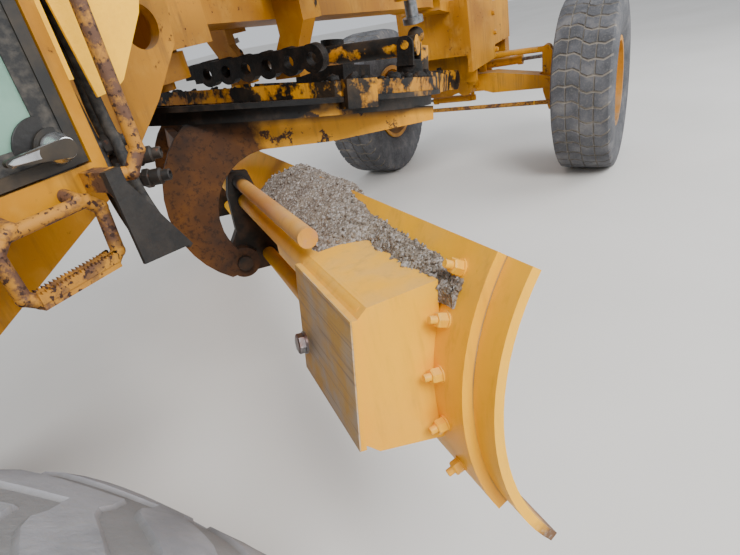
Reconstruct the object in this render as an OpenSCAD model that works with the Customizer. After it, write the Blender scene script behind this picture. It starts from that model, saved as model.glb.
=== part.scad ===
// Articulated motor grader with its cab on the rear frame, blade raised and angled.
// Millimetres. +X forward, +Y left, +Z up. The origin is on the ground, below
// the middle of the machine, and the articulation hinge stands above it.

/* [Layout] */
// Articulation hinge to front axle
hinge_to_front = 3350; // [3150:10:3550]
// Front axle to the middle of the tandem
wheelbase = 5820; // [5700:10:5950]
// Distance between the two wheels of a tandem
tandem_spacing = 1524; // [1480:4:1600]
// Track, from tyre middle to tyre middle
track = 2032; // [1980:4:2100]
// Front axle to the face of the push block
front_overhang = 370; // [350:5:420]

/* [Wheels] */
// Radius of a tyre over its lugs
tyre_r = 674; // [640:2:700]
// Width of a tyre at its sidewalls
tyre_w = 445; // [400:5:460]
// Radius of the rim's bead seat
bead_r = 318; // [300:2:330]
// Thickness of a tyre's wall
tyre_wall = 44; // [34:1:50]
// Thickness of the rim's barrel
rim_t = 12; // [8:1:16]
// Radius of a wheel hub
hub_r = 120; // [105:1:135]

/* [Rear frame] */
// Half width over the frame's side plates
rear_half_w = 330; // [310:2:350]
// Thickness of the frame's side plates
rear_plate_t = 36; // [24:1:44]
// Bottom of the frame's rails
rail_z = 800; // [770:5:840]
// Height of the frame's rails
rail_h = 300; // [260:5:330]
// Radius of the hinge pins
hinge_pin_r = 45; // [36:1:52]
// Radius of the round hole in each hinge cheek
cheek_hole_r = 60; // [40:1:70]
// Bore of the rear hitch pin
hitch_bore = 42; // [36:1:50]

/* [Engine hood] */
// Half width of the hood
hood_half_w = 500; // [460:5:540]
// Top of the hood
hood_top = 2230; // [2150:10:2300]
// Thickness of the hood's sheet and frames
hood_t = 20; // [14:1:26]
// Louvre slots in each side panel
louvre_n = 9; // [5:1:12]

/* [Cab] */
// Half width of the cab
cab_half_w = 655; // [640:1:670]
// Front of the cab
cab_front = -740; // [-760:5:-730]
// Length of the cab
cab_len = 1420; // [1390:10:1440]
// Underside of the cab floor
cab_floor = 1400; // [1390:5:1420]
// Top of the cab's walls
cab_top = 3100; // [3050:10:3200]
// Thickness of the cab's posts and walls
cab_t = 50; // [40:1:60]
// Thickness of the window panes
glass_t = 6; // [5:1:8]
// Thickness of a door
door_t = 36; // [30:1:42]

/* [Front frame] */
// Half width of the main beam
beam_half_w = 150; // [130:2:165]
// Bottom of the main beam at the hinge
beam_rear_z = 1660; // [1640:2:1680]
// Depth of the main beam
beam_h = 320; // [280:5:360]
// Half width over the bolster's side plates
bolster_half_w = 285; // [265:5:300]
// Radius of the axle pivot pin
axle_pin_r = 40; // [30:1:46]

/* [Front axle] */
// Half distance between the lean pivots
lean_half = 660; // [640:2:670]
// Height of the lean pivots
lean_z = 740; // [730:1:750]
// Height of the lean bar
lean_bar_z = 990; // [970:2:1010]
// Half distance between the kingpins
king_half = 762; // [756:1:768]
// Radius of the lean pins
lean_pin_r = 24; // [18:1:28]
// Radius of the kingpins
king_pin_r = 26; // [20:1:30]

/* [Drawbar and circle] */
// Tilt of the drawbar, rear end up
drawbar_pitch = 10.9; // [9:0.1:12]
// Roll of the drawbar, left side up
drawbar_roll = 2.5; // [1:0.1:3]
// Swing of the drawbar
drawbar_yaw = 0.7; // [0:0.1:1]
// Ball to the centre of the circle
drawbar_len = 2080; // [2040:5:2120]
// Drop from the ball to the underside of the circle
drawbar_drop = 100; // [90:1:110]
// Angle of the blade, right end to the rear
blade_angle = 37.6; // [36:0.1:38]
// Outer radius of the circle
circle_r = 775; // [760:1:785]
// Height of the circle's ring
circle_h = 60; // [50:1:66]
// Teeth inside the circle
circle_teeth = 60; // [48:1:72]
// Radius of the drawbar's ball
ball_r = 60; // [50:1:66]

/* [Blade] */
// Length of the moldboard
blade_len = 3660; // [3500:10:3700]
// Shift of the blade to the left
blade_shift = -20; // [-60:1:60]
// Radius of the moldboard's front face
blade_r = 490; // [480:1:500]
// Thickness of the moldboard
blade_t = 23; // [16:1:26]
// Thickness of the cutting edge
edge_t = 19; // [13:1:22]
// Middle of each arm's plate from the circle's centre
arm_mid = 575; // [560:1:585]
// Thickness of the arms' plates
arm_t = 44; // [36:1:50]
// Radius of the upper slide rail
rail_up_r = 30; // [24:1:32]
// Radius of the lower slide rail
rail_low_r = 26; // [22:1:28]

/* [Cylinders] */
// Radius of the lift cylinders' barrels
lift_r = 60; // [50:1:66]
// Radius of the lift cylinders' rods
lift_rod_r = 28; // [22:1:32]
// Radius of the smaller cylinders' barrels
cyl_r = 42; // [36:1:46]
// Radius of the smaller cylinders' rods
rod_r = 20; // [16:1:24]

/* [Hidden] */

paint = "goldenrod";
fresh_paint = "gold";
rubber = "dimgray";
grease = "darkslategray";
steel = "silver";
rust = "saddlebrown";
glass = "lightcyan";
dark = "gray";

gap = 0.3;
axle_front_x = hinge_to_front;
tandem_x = hinge_to_front - wheelbase;
axle_1_x = tandem_x + tandem_spacing / 2;
axle_2_x = tandem_x - tandem_spacing / 2;
front_end_x = axle_front_x + front_overhang;
rear_end_x = -axle_front_x - tyre_r;
cab_rear = cab_front - cab_len;

// Box from one corner to the opposite one.
module span(a, b) {
    translate(a) cube(b - a);
}

// Box that is the same on both sides of the machine's middle plane.
module mid_span(x0, x1, half_w, z0, z1) {
    span([x0, -half_w, z0], [x1, half_w, z1]);
}

// Child on the left as drawn, or mirrored to the right.
module on_side(side) {
    if (side > 0) {
        children();
    } else {
        mirror([0, 1, 0]) children();
    }
}

// Child on both sides.
module both_sides() {
    children();
    mirror([0, 1, 0]) children();
}

// Rod or tube along X, from x0 to x1.
module x_rod(x0, x1, y, z, r, bore = 0) {
    translate([x0, y, z]) rotate([0, 90, 0]) difference() {
        cylinder(r = r, h = x1 - x0, $fn = 48);
        if (bore > 0) translate([0, 0, -1]) cylinder(r = bore, h = x1 - x0 + 2, $fn = 48);
    }
}

// Rod or tube along Y, from y0 to y1.
module y_rod(y0, y1, x, z, r, bore = 0) {
    translate([x, y0, z]) rotate([-90, 0, 0]) difference() {
        cylinder(r = r, h = y1 - y0, $fn = 48);
        if (bore > 0) translate([0, 0, -1]) cylinder(r = bore, h = y1 - y0 + 2, $fn = 48);
    }
}

// Rod or tube along Z, from z0 to z1.
module z_rod(z0, z1, x, y, r, bore = 0) {
    translate([x, y, z0]) difference() {
        cylinder(r = r, h = z1 - z0, $fn = 48);
        if (bore > 0) translate([0, 0, -1]) cylinder(r = bore, h = z1 - z0 + 2, $fn = 48);
    }
}

// Side outline in X and Z, extruded from y0 to y1.
module side_plate(points, y0, y1) {
    translate([0, y1, 0]) rotate([90, 0, 0]) linear_extrude(y1 - y0) polygon(points);
}

// Outline in Y and Z, extruded from x0 to x1.
module cross_plate(points, x0, x1) {
    translate([x0, 0, 0]) rotate([90, 0, 90]) linear_extrude(x1 - x0) polygon(points);
}

// Frame that runs from point a to point b, with its local Z along the way.
module along(a, b) {
    d = b - a;
    flat = norm([d[0], d[1]]);
    translate(a) rotate([0, atan2(flat, d[2]), atan2(d[1], d[0])]) children();
}

// Wheels

rim_half = tyre_w / 2 - 44;
flange_h = 24;

// Half of a tyre's section as [radius, distance from the middle plane].
function tyre_half() = let (w = tyre_w / 2, r = tyre_r, b = bead_r) [
    [r, 0], [r - 5, w - 44], [r - 26, w - 18], [r - 90, w - 4], [r - 160, w],
    [b + 120, w - 6], [b + 55, w - 30], [b + 27, rim_half], [b, rim_half],
    [b, rim_half - 30], [b + 60, w - tyre_wall - 24], [r - 170, w - tyre_wall],
    [r - 100, w - tyre_wall - 8], [r - 62, w - 90], [r - 58, 0]];

// Wheel's place: its local +Z points out of the machine.
module wheel_place(x, side) {
    on_side(side) translate([x, track / 2, tyre_r]) rotate([-90, 0, 0]) children();
}

module tyre(x, side) {
    half = tyre_half();
    n = len(half);
    other = [for (i = [n - 2 : -1 : 1]) [half[i][0], -half[i][1]]];
    color(rubber) wheel_place(x, side)
        rotate_extrude($fn = 96) polygon(concat(half, other));
}

// Rim barrel with its two flanges.
module rim_barrel() {
    b = bead_r;
    rotate_extrude($fn = 96) polygon([
        [b - rim_t, -rim_half - 14], [b + flange_h, -rim_half - 14], [b + flange_h, -rim_half],
        [b, -rim_half], [b, rim_half], [b + flange_h, rim_half],
        [b + flange_h, rim_half + 14], [b - rim_t, rim_half + 14]]);
}

// Dished disc from the hub to the barrel: d is its place at the hub.
module rim_disc(d, hub_in, hub_out, bore) {
    b = bead_r - rim_t;
    rotate_extrude($fn = 96) polygon([
        [hub_r, d], [hub_r + 70, d], [b - 40, d + 50], [b + 1, d + 50],
        [b + 1, d + 66], [b - 46, d + 66], [hub_r + 64, d + 16], [hub_r, d + 16]]);
    difference() {
        union() {
            translate([0, 0, hub_in]) cylinder(r = hub_r, h = hub_out - hub_in, $fn = 64);
            translate([0, 0, hub_out]) cylinder(r = hub_r - 40, h = 24, $fn = 48);
        }
        translate([0, 0, hub_in - 1]) cylinder(r = bore, h = hub_out - hub_in - 20, $fn = 48);
    }
}

stub_r = 45;
rear_stub_r = 60;
rear_hub_in = -150;
front_hub_in = -120;
front_hub_out = 60;

module rim_rear(x, side) {
    color(paint) wheel_place(x, side) {
        rim_barrel();
        rim_disc(-70, rear_hub_in, 10, rear_stub_r + gap);
    }
}

module rim_front(side) {
    color(paint) wheel_place(axle_front_x, side) {
        rim_barrel();
        rim_disc(10, front_hub_in, front_hub_out, stub_r + gap);
    }
}

// Tandem drive below the rear frame

case_w = 180;
case_to_tyre = 53.5;
case_out = track / 2 - tyre_w / 2 - case_to_tyre;
case_in = case_out - case_w;
case_r = 230;
axle_tube_r = rail_z - tyre_r - gap;

module tandem_drive() {
    color(paint) {
        y_rod(-case_in, case_in, tandem_x, tyre_r, axle_tube_r);
        translate([tandem_x, 0, tyre_r]) sphere(r = 190, $fn = 64);
        both_sides() {
            for (x = [axle_1_x, axle_2_x]) {
                y_rod(case_in, case_out, x, tyre_r, case_r);
                y_rod(case_out, track / 2 + rear_hub_in - 4, x, tyre_r, hub_r - 10);
                y_rod(case_out, track / 2 - 20, x, tyre_r, rear_stub_r);
            }
            span([axle_2_x, case_in, tyre_r - 200], [axle_1_x, case_out, tyre_r + 200]);
            y_rod(case_in - 60, case_out + 20, tandem_x, tyre_r, 210);
        }
    }
}

// Rear frame

hinge_top_z = 2010;
hinge_low_z = 1590;
lug_t = 40;
low_lug_t = 90;
hinge_boss_r = 110;
rear_in = rear_half_w - rear_plate_t;
rail_top = rail_z + rail_h;
tip_x = -415;
hitch_boss_r = 36;
hitch_x = rear_end_x + hitch_boss_r;
bumper_x = hitch_x + hitch_boss_r + 4;
hitch_low = rail_z + 40;
hitch_t = 45;
hitch_gap = 50;

module rear_side_outline() {
    side_plate([
        [-150, hinge_top_z + lug_t], [-150, 1740], [-172, 1620], [-300, 1484], [-410, 1392],
        [tip_x, 1356], [-1020, 1085], [-1420, 905], [-1660, rail_z],
        [rear_end_x + 100, rail_z], [rear_end_x + 100, rail_top], [-1500, rail_top],
        [-1240, cab_floor], [cab_front + 12, cab_floor], [cab_front + 12, 1700],
        [-560, hinge_top_z + lug_t]], rear_in, rear_half_w);
}

module turn_bracket_rear() {
    span([turn_rear_x - 60, rear_half_w - 1, turn_z - 75], [turn_rear_x + 40, turn_rear_y, turn_z - 50]);
    span([turn_rear_x - 60, rear_half_w - 1, turn_z + 50], [turn_rear_x + 40, turn_rear_y, turn_z + 75]);
    for (z = [turn_z - 75, turn_z + 50])
        z_rod(z, z + 25, turn_rear_x, turn_rear_y, 40);
    z_rod(turn_z - 80, turn_z + 80, turn_rear_x, turn_rear_y, turn_pin_r);
}

module rear_frame() {
    color(paint) {
        both_sides() {
            difference() {
                rear_side_outline();
                y_rod(rear_in - 1, rear_half_w + 1, -270, 1680, cheek_hole_r);
            }
            turn_bracket_rear();
            // saddle of the rail on the axle tube
            difference() {
                span([tandem_x - 180, rear_in, tyre_r], [tandem_x + 180, rear_half_w, rail_z + 1]);
                y_rod(rear_in - 1, rear_half_w + 1, tandem_x, tyre_r, axle_tube_r + gap);
            }
        }
        // cross plates
        mid_span(-440, -400, rear_in + 1, 1400, hinge_top_z + 1);
        mid_span(-1400, -1360, rear_in + 1, 950, 1360);
        mid_span(tandem_x + 400, tandem_x + 430, rear_in + 1, rail_z, rail_top);
        mid_span(tandem_x - 620, tandem_x - 590, rear_in + 1, rail_z, rail_top);
        // top and bottom lugs of the hinge, the bottom one set in between the plates, and the pin
        lug(hinge_top_z, lug_t, -1);
        lug(hinge_low_z - low_lug_t, low_lug_t, gap);
        z_rod(hinge_low_z - low_lug_t - 30, hinge_top_z + lug_t + 30, 0, 0, hinge_pin_r - gap);
        // rear bumper
        mid_span(bumper_x, rear_end_x + 100, 420, rail_z - 60, rail_top);
        // hitch, a plate with two lugs on the bumper
        difference() {
            union() {
                mid_span(bumper_x - 12, bumper_x - gap, 70, hitch_low - 15,
                    hitch_low + 2 * hitch_t + hitch_gap + 15);
                for (z = [hitch_low, hitch_low + hitch_t + hitch_gap]) {
                    mid_span(hitch_x, bumper_x - 11, hitch_boss_r, z, z + hitch_t);
                    z_rod(z, z + hitch_t, hitch_x, 0, hitch_boss_r);
                }
            }
            z_rod(hitch_low - 1, hitch_low + 2 * hitch_t + hitch_gap + 1, hitch_x, 0,
                hitch_bore / 2);
        }
    }
}

// Hinge lug between z and z + t, set off by play from the plates that hold it.
module lug(z, t, play) {
    difference() {
        union() {
            mid_span(-400 + play, 0, hinge_boss_r, z, z + t);
            mid_span(-400 + play, -260, rear_in - play, z, z + t);
            z_rod(z, z + t, 0, 0, hinge_boss_r);
        }
        z_rod(z - 1, z + t + 1, 0, 0, hinge_pin_r);
    }
}

// Engine hood, engine and exhaust

hood_front = cab_rear - 20;
hood_rear = rear_end_x + 140;
hood_low = rail_top;
hood_round = 120;

// Outline of the hood across the machine, made smaller by d all round.
module hood_outline(d) {
    w = hood_half_w - d;
    t = hood_top - d;
    r = hood_round - d;
    translate([-w, hood_low]) square([2 * w, t - r - hood_low]);
    translate([-w + r, hood_low]) square([2 * w - 2 * r, t - hood_low]);
    for (s = [-1, 1]) translate([s * (w - r), t - r]) circle(r = r, $fn = 48);
}

module engine_hood() {
    slot_h = 22;
    slot_gap = 62;
    color(paint) difference() {
        translate([hood_rear, 0, 0]) rotate([90, 0, 90])
            linear_extrude(hood_front - hood_rear) hood_outline(0);
        translate([hood_rear - 1, 0, 0]) rotate([90, 0, 90])
            linear_extrude(hood_front - hood_rear - hood_t + 1) hood_outline(hood_t);
        span([hood_rear - 1, -hood_half_w + hood_t, hood_low - 1],
            [hood_front - hood_t, hood_half_w - hood_t, hood_low + 10]);
        for (i = [0 : louvre_n - 1])
            for (x = [hood_rear + 180, hood_rear + 980])
                span([x, -hood_half_w - 1, 1420 + i * slot_gap],
                    [x + 560, hood_half_w + 1, 1420 + i * slot_gap + slot_h]);
        z_rod(hood_top - hood_t - 1, hood_top + 1, stack_x, 0, stack_r + gap);
    }
}

stack_x = -2650;
stack_r = 62;
engine_top = 2000;

module engine_block() {
    color(dark) mid_span(hood_rear + 300, hood_front - 260, 300, rail_top, engine_top);
}

module exhaust_stack() {
    color(rust) {
        z_rod(engine_top, hood_top + 520, stack_x, 0, stack_r, stack_r - 6);
        z_rod(hood_top + 60, hood_top + 420, stack_x, 0, stack_r + 50, stack_r - 6);
    }
}

module rear_grille() {
    bars = 13;
    z0 = hood_low + 60;
    z1 = hood_top - 140;
    w = hood_half_w - 90;
    color(dark) difference() {
        translate([hood_rear - 40, 0, 0]) rotate([90, 0, 90])
            linear_extrude(40) hood_outline(0);
        for (i = [0 : bars - 1])
            span([hood_rear - 41, -w, z0 + i * (z1 - z0) / bars + 12],
                [hood_rear - 12, w, z0 + (i + 1) * (z1 - z0) / bars - 12]);
    }
}

// Cab

door_front = cab_front - 28;
door_rear = cab_front - 800;
door_low = cab_floor + 50;
door_high = cab_top - 80;
clear = 5;
door_hinge_r = 10;
door_hinge_x = door_rear - 12;
door_hinge_y = cab_half_w + door_hinge_r + 8 + gap;

module cab_shell() {
    in = cab_half_w - cab_t;
    color(paint) {
        difference() {
            mid_span(cab_rear, cab_front, cab_half_w, cab_floor, cab_top);
            mid_span(cab_rear + cab_t, cab_front - cab_t, in, cab_floor + 50, cab_top + 1);
            // door openings
            mid_span(door_rear, door_front, cab_half_w + 1, door_low, door_high);
            // rear quarter windows
            mid_span(cab_rear + 70, door_rear - 80, cab_half_w + 1, 1900, door_high);
            // front windows, one above the other
            mid_span(cab_front - cab_t - 1, cab_front + 1, in - 20, 1540, 2130);
            mid_span(cab_front - cab_t - 1, cab_front + 1, in - 20, 2200, door_high);
            // rear window
            mid_span(cab_rear - 1, cab_rear + cab_t + 1, in - 40, hood_top + 80, door_high);
        }
        // hinge pins of the doors
        both_sides() for (z = [door_low + 160, door_high - 260]) {
            z_rod(z - 40, z + 90, door_hinge_x, door_hinge_y, door_hinge_r);
            span([door_hinge_x - 60, cab_half_w, z - 40], [door_hinge_x + 8, door_hinge_y, z - 20]);
        }
    }
}

module cab_roof() {
    color(paint) {
        mid_span(cab_rear - 40, cab_front + 130, cab_half_w + 25, cab_top, cab_top + 70);
        mid_span(cab_rear + 60, cab_front + 30, cab_half_w - 60, cab_top + 70, cab_top + 100);
        both_sides() {
            span([cab_front + 60, 420, cab_top - 100], [cab_front + 125, 580, cab_top]);
            span([cab_rear - 40, 420, cab_top - 90], [cab_rear - 4, 560, cab_top]);
        }
    }
}

module cab_glass() {
    in = cab_half_w - cab_t;
    color(glass) {
        for (z = [[1540, 2130], [2200, door_high]])
            mid_span(cab_front - 30, cab_front - 30 + glass_t, in - 20, z[0], z[1]);
        mid_span(cab_rear + 24, cab_rear + 24 + glass_t, in - 40, hood_top + 80, door_high);
        both_sides() span([cab_rear + 70, cab_half_w - 30, 1900],
            [door_rear - 80, cab_half_w - 30 + glass_t, door_high]);
    }
}

module door(side) {
    x0 = door_rear + clear;
    x1 = door_front - clear;
    z0 = door_low + clear;
    z1 = door_high - clear;
    y0 = cab_half_w - door_t;
    handle_x = x1 - 47;
    handle_z = z0 + 40;
    f = 24;
    color(dark) on_side(side) {
        difference() {
            span([x0, y0, z0], [x1, cab_half_w, z1]);
            span([x0 + f, y0 - 1, z0 + f], [x1 - f, cab_half_w + 1, z1 - f]);
        }
        span([x0 + f - 1, y0 + 12, z0 + f - 1], [x1 - f + 1, y0 + 12 + glass_t, z1 - f + 1]);
        // hinge knuckles
        for (z = [door_low + 160, door_high - 260]) {
            z_rod(z - 20 + gap, z + 60, door_hinge_x, door_hinge_y, door_hinge_r + 8,
                door_hinge_r + gap);
            difference() {
                union() {
                    span([door_hinge_x, cab_half_w + gap, z], [x0 + 40, door_hinge_y + 6, z + 60]);
                    span([x0 + 2, cab_half_w - 1, z], [x0 + 40, cab_half_w + 1, z + 60]);
                }
                z_rod(z - 1, z + 61, door_hinge_x, door_hinge_y, door_hinge_r + gap);
            }
        }
        // handle
        y_rod(y0 + 17, y0 + 30, handle_x, handle_z, 40);
        y_rod(y0 + 29, cab_half_w + 30, handle_x, handle_z, 20);
        hull() {
            y_rod(cab_half_w + 20, cab_half_w + 36, handle_x, handle_z, 18);
            y_rod(cab_half_w + 20, cab_half_w + 32, handle_x - 105, handle_z + 6, 7);
        }
    }
}

module seat() {
    x = cab_rear + 480;
    color(dark) {
        z_rod(cab_floor + 50, cab_floor + 330, x, 0, 90);
        mid_span(x - 240, x + 260, 240, cab_floor + 330, cab_floor + 450);
        mid_span(x - 330, x - 200, 230, cab_floor + 450, cab_floor + 1050);
    }
}

module console() {
    x = cab_front - 330;
    color(dark) {
        mid_span(x - 60, x + 100, 90, cab_floor + 50, cab_floor + 700);
        translate([x - 60, 0, cab_floor + 720]) rotate([0, -30, 0]) {
            translate([0, 0, -60]) cylinder(r = 22, h = 120, $fn = 32);
            translate([0, 0, 60]) rotate_extrude($fn = 64) translate([200, 0]) circle(r = 14, $fn = 24);
            for (a = [0, 120, 240]) rotate([0, 0, a]) translate([0, -9, 53]) cube([200, 18, 14]);
        }
    }
}

// Tube along a route of points, as cylinders with spheres at the bends.
module tube(route, r) {
    for (i = [0 : len(route) - 2])
        along(route[i], route[i + 1]) cylinder(r = r, h = norm(route[i + 1] - route[i]), $fn = 32);
    for (i = [1 : len(route) - 2]) translate(route[i]) sphere(r = r + 1, $fn = 32);
}

rail_y = cab_half_w + 45;
step_y = cab_half_w + 35;

module steps_and_rails() {
    hose_guards();
    front_cover();
    color(paint) both_sides() {
        difference() {
            side_loops();
            span([cab_rear, 0, cab_floor], [cab_front + gap, cab_half_w + gap, cab_top]);
        }
    }
}

module side_loops() {
    // grab rail ahead of the door, from the cab's front corner
    tube([[cab_front - 25, cab_half_w - 5, cab_floor + 15],
        [cab_front + 22, rail_y - 8, cab_floor + 10], [cab_front + 50, rail_y, cab_floor + 50],
        [cab_front + 62, rail_y, cab_top - 740], [cab_front + 40, rail_y - 8, cab_top - 700],
        [cab_front - 25, cab_half_w - 5, cab_top - 700]], 15);
    // loop step beside the sill, with its tread
    tube([[-850, cab_half_w - 5, cab_floor + 12], [-850, step_y, cab_floor + 2],
        [-835, step_y, cab_floor - 5], [-812, step_y, cab_floor - 28], [-818, step_y, 1278],
        [-836, step_y, 1264], [-994, step_y, 1264], [-1017, step_y, 1284],
        [-1020, step_y, cab_floor - 28], [-997, step_y, cab_floor - 5],
        [-980, step_y, cab_floor + 2], [-980, cab_half_w - 5, cab_floor + 12]], 14);
    tube([[-840, step_y, cab_floor - 4], [-992, step_y, cab_floor - 4]], 13.5);
    span([-1000, step_y - 16, 1250], [-832, step_y + 16, 1264]);
}

// Bright plate that covers the pin of the right turn cylinder.
module front_cover() {
    y = -cab_half_w + 70;
    color(fresh_paint) {
        side_plate([[-700, 1990], [-655, 1556], [-603, 1562], [-578, 1576], [-474, 1700],
            [-445, 1760], [-430, 1990]], y - 6, y);
        span([cab_front + gap, y - 6, 1600], [-690, y, 1990]);
    }
}

// Bent sheet under the cab's right front corner, in front of the hoses.
module hose_guards() {
    y1 = -cab_half_w - 80;
    x0 = cab_front - 65;
    color(dark) {
        span([x0, y1 - 8, 1400], [x0 + 35, -cab_half_w - gap, 1440]);
        side_plate([[x0, 1410], [x0 + 35, 1410], [-678, 1227], [x0, 1243]], y1 - 8, y1);
        side_plate([[x0 + 35, 1410], [-678, 1227], [-688, 1222], [x0 + 25, 1404]], y1 - 8,
            y1 + 70);
    }
}

// Front frame: beam, saddle part and bolster

beam_x0 = 115;
beam_fall = 0.0775;
bolster_x0 = 2560;
bolster_x1 = axle_front_x - 200;
bolster_z = 1000;
bolster_top = 1500;
bolster_t = 32;
head_z = 1100;
head_top = 1420;
front_plate_x = axle_front_x + 210;
axle_pin_z = 800;
ball = [2600, 0, 955];
turn_z = 1850;
turn_pin_r = 20;
turn_rear_x = -480;
turn_rear_y = 520;
turn_front_x = 500;
turn_front_y = 420;

// Height of the beam's underside at x.
function beam_low(x) = beam_rear_z - beam_fall * (x - beam_x0);

module front_frame() {
    knee_x = 2200;
    color(paint) {
        // hinge box between the lugs of the rear frame
        difference() {
            union() {
                mid_span(-beam_x0, beam_x0, 200, hinge_low_z + 10, hinge_top_z - 10);
                z_rod(hinge_low_z + gap, hinge_top_z - gap, 0, 0, hinge_boss_r - 20);
            }
            z_rod(hinge_low_z - 1, hinge_top_z + 1, 0, 0, hinge_pin_r);
        }
        // main beam
        difference() {
            side_plate([[beam_x0 - 1, beam_low(beam_x0)], [knee_x, beam_low(knee_x)],
                [bolster_x0 + 20, bolster_top - 80], [bolster_x1, bolster_top - 60],
                [bolster_x1, bolster_top], [bolster_x0 + 100, bolster_top + 130],
                [knee_x - 200, beam_low(knee_x - 200) + beam_h],
                [beam_x0 - 1, beam_low(beam_x0) + beam_h]], -beam_half_w, beam_half_w);
            y_rod(-beam_half_w - 1, beam_half_w + 1, 2330, 1510, 62);
        }
        // bolster
        difference() {
            mid_span(bolster_x0, bolster_x1, bolster_half_w, bolster_z, bolster_top);
            mid_span(bolster_x0 - 1, bolster_x1 - bolster_t, bolster_half_w - bolster_t,
                bolster_z - 1, bolster_top - bolster_t);
        }
        mid_span(bolster_x0, bolster_x0 + bolster_t, bolster_half_w - bolster_t + 1, 1120,
            bolster_top - bolster_t + 1);
        // carrier of the drawbar's ball
        mid_span(ball[0] + 120, ball[0] + 160, bolster_half_w - bolster_t + 1, 900,
            bolster_top - bolster_t + 1);
        // head over the axle, with the two lugs of the axle's pivot pin
        mid_span(bolster_x1 - bolster_t, front_plate_x + bolster_t, bolster_half_w, head_z, head_top);
        for (x = [bolster_x1 - bolster_t, front_plate_x]) {
            mid_span(x, x + bolster_t, 110, axle_pin_z, head_z + 1);
            x_rod(x, x + bolster_t, 0, axle_pin_z, 80);
        }
        // push block
        mid_span(front_plate_x + bolster_t - 1, front_end_x, 240, 880, 1300);
        // brackets of the articulation cylinders
        both_sides() {
            for (z = [turn_z - 75, turn_z + 50]) {
                span([turn_front_x - 45, beam_half_w - 1, z],
                    [turn_front_x + 45, turn_front_y, z + 25]);
                z_rod(z, z + 25, turn_front_x, turn_front_y, 45);
            }
            z_rod(turn_z - 80, turn_z + 80, turn_front_x, turn_front_y, turn_pin_r);
        }
    }
    color(steel) {
        translate(ball) sphere(r = ball_r, $fn = 64);
        x_rod(ball[0], ball[0] + 121, 0, ball[2], 30);
        x_rod(bolster_x1 - bolster_t - 12, front_plate_x + 52, 0, axle_pin_z, axle_pin_r - gap);
    }
}

// Saddle on the beam, with the arms that carry the lift cylinders

saddle_x = 560;
saddle_len = 140;
jaw_len = 95;
jaw_z = 1385;
lift_x = 950;
lift_z = 1900;
lift_y = 580;
lift_pin_r = 32;
stem_x0 = lift_x - 240;
stem_x1 = lift_x - 100;
bar_x = saddle_x - 100;
bar_z = 1465;
bar_t = 44;

module saddle_arms() {
    top = beam_low(saddle_x) + beam_h;
    color(paint) {
        both_sides() {
            span([saddle_x, beam_half_w, 1600], [saddle_x + saddle_len, 290, top + 40]);
            // arm out to the boss that holds the lift cylinder's yoke
            difference() {
                union() {
                    span([saddle_x + 20, 289, lift_z - 60], [stem_x1, lift_y - 40, lift_z + 60]);
                    x_rod(stem_x0, stem_x1, lift_y, lift_z, 68);
                }
                x_rod(stem_x0 - 1, stem_x1 + 1, lift_y, lift_z, lift_pin_r);
            }
        }
        mid_span(saddle_x, saddle_x + saddle_len, 290, top, top + 40);
        // jaws, the left one shorter to let the shift rod pass
        for (jaw = [[-1, jaw_len], [1, jaw_len - 50]])
            on_side(jaw[0]) cross_plate([[beam_half_w, 1602], [290, 1602], [230, 1500],
                [205, jaw_z], [70, jaw_z], [70, jaw_z + 55], [beam_half_w, 1560]],
                saddle_x, saddle_x + jaw[1]);
    }
}

// Bar with a row of lock holes, held across the machine by the saddle's jaws.
module link_bar() {
    pitch = 120;
    n = 6;
    color(grease) {
        difference() {
            union() {
                span([bar_x, -pitch * n / 2, bar_z - 40], [bar_x + bar_t, 330, bar_z + 45]);
                for (i = [0 : n - 1])
                    x_rod(bar_x, bar_x + bar_t, (i - n / 2) * pitch, bar_z - 5, 56);
            }
            for (i = [0 : n - 1])
                x_rod(bar_x - 1, bar_x + bar_t + 1, (i - n / 2) * pitch, bar_z - 5, 26);
        }
        both_sides() x_rod(bar_x + bar_t - 1, saddle_x, 140, bar_z - 25, 24);
        // eye for the shift cylinder
        span([bar_x, 328, bar_z - 20], [bar_x + bar_t, 388, shift_eye[2] + 56]);
        z_rod(shift_eye[2] - 14, shift_eye[2] + 56, shift_eye[0], shift_eye[1], 18);
        span([bar_x, shift_eye[1] - 32, shift_eye[2] + 40],
            [shift_eye[0] + 26, shift_eye[1] + 28, shift_eye[2] + 56]);
    }
}

// Front axle, leaning knuckles and steered spindles

axle_half_t = 75;
slot_half = 44;
king_low_z = 500;
king_high_z = 900;
eye_t = 56;
arm_back = 200;
arm_y = king_half;
arm_z = 640;
steer_arm_t = 30;
ball_pin_r = 14;
steer_x = axle_front_x + 190;
steer_pivot_y = 80;
knuckle_out = 33;
lean_cyl_x = axle_front_x + 96;
lean_cyl_y = -90;
lean_cyl_z = 905;
lean_eye_z = 925;

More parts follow.
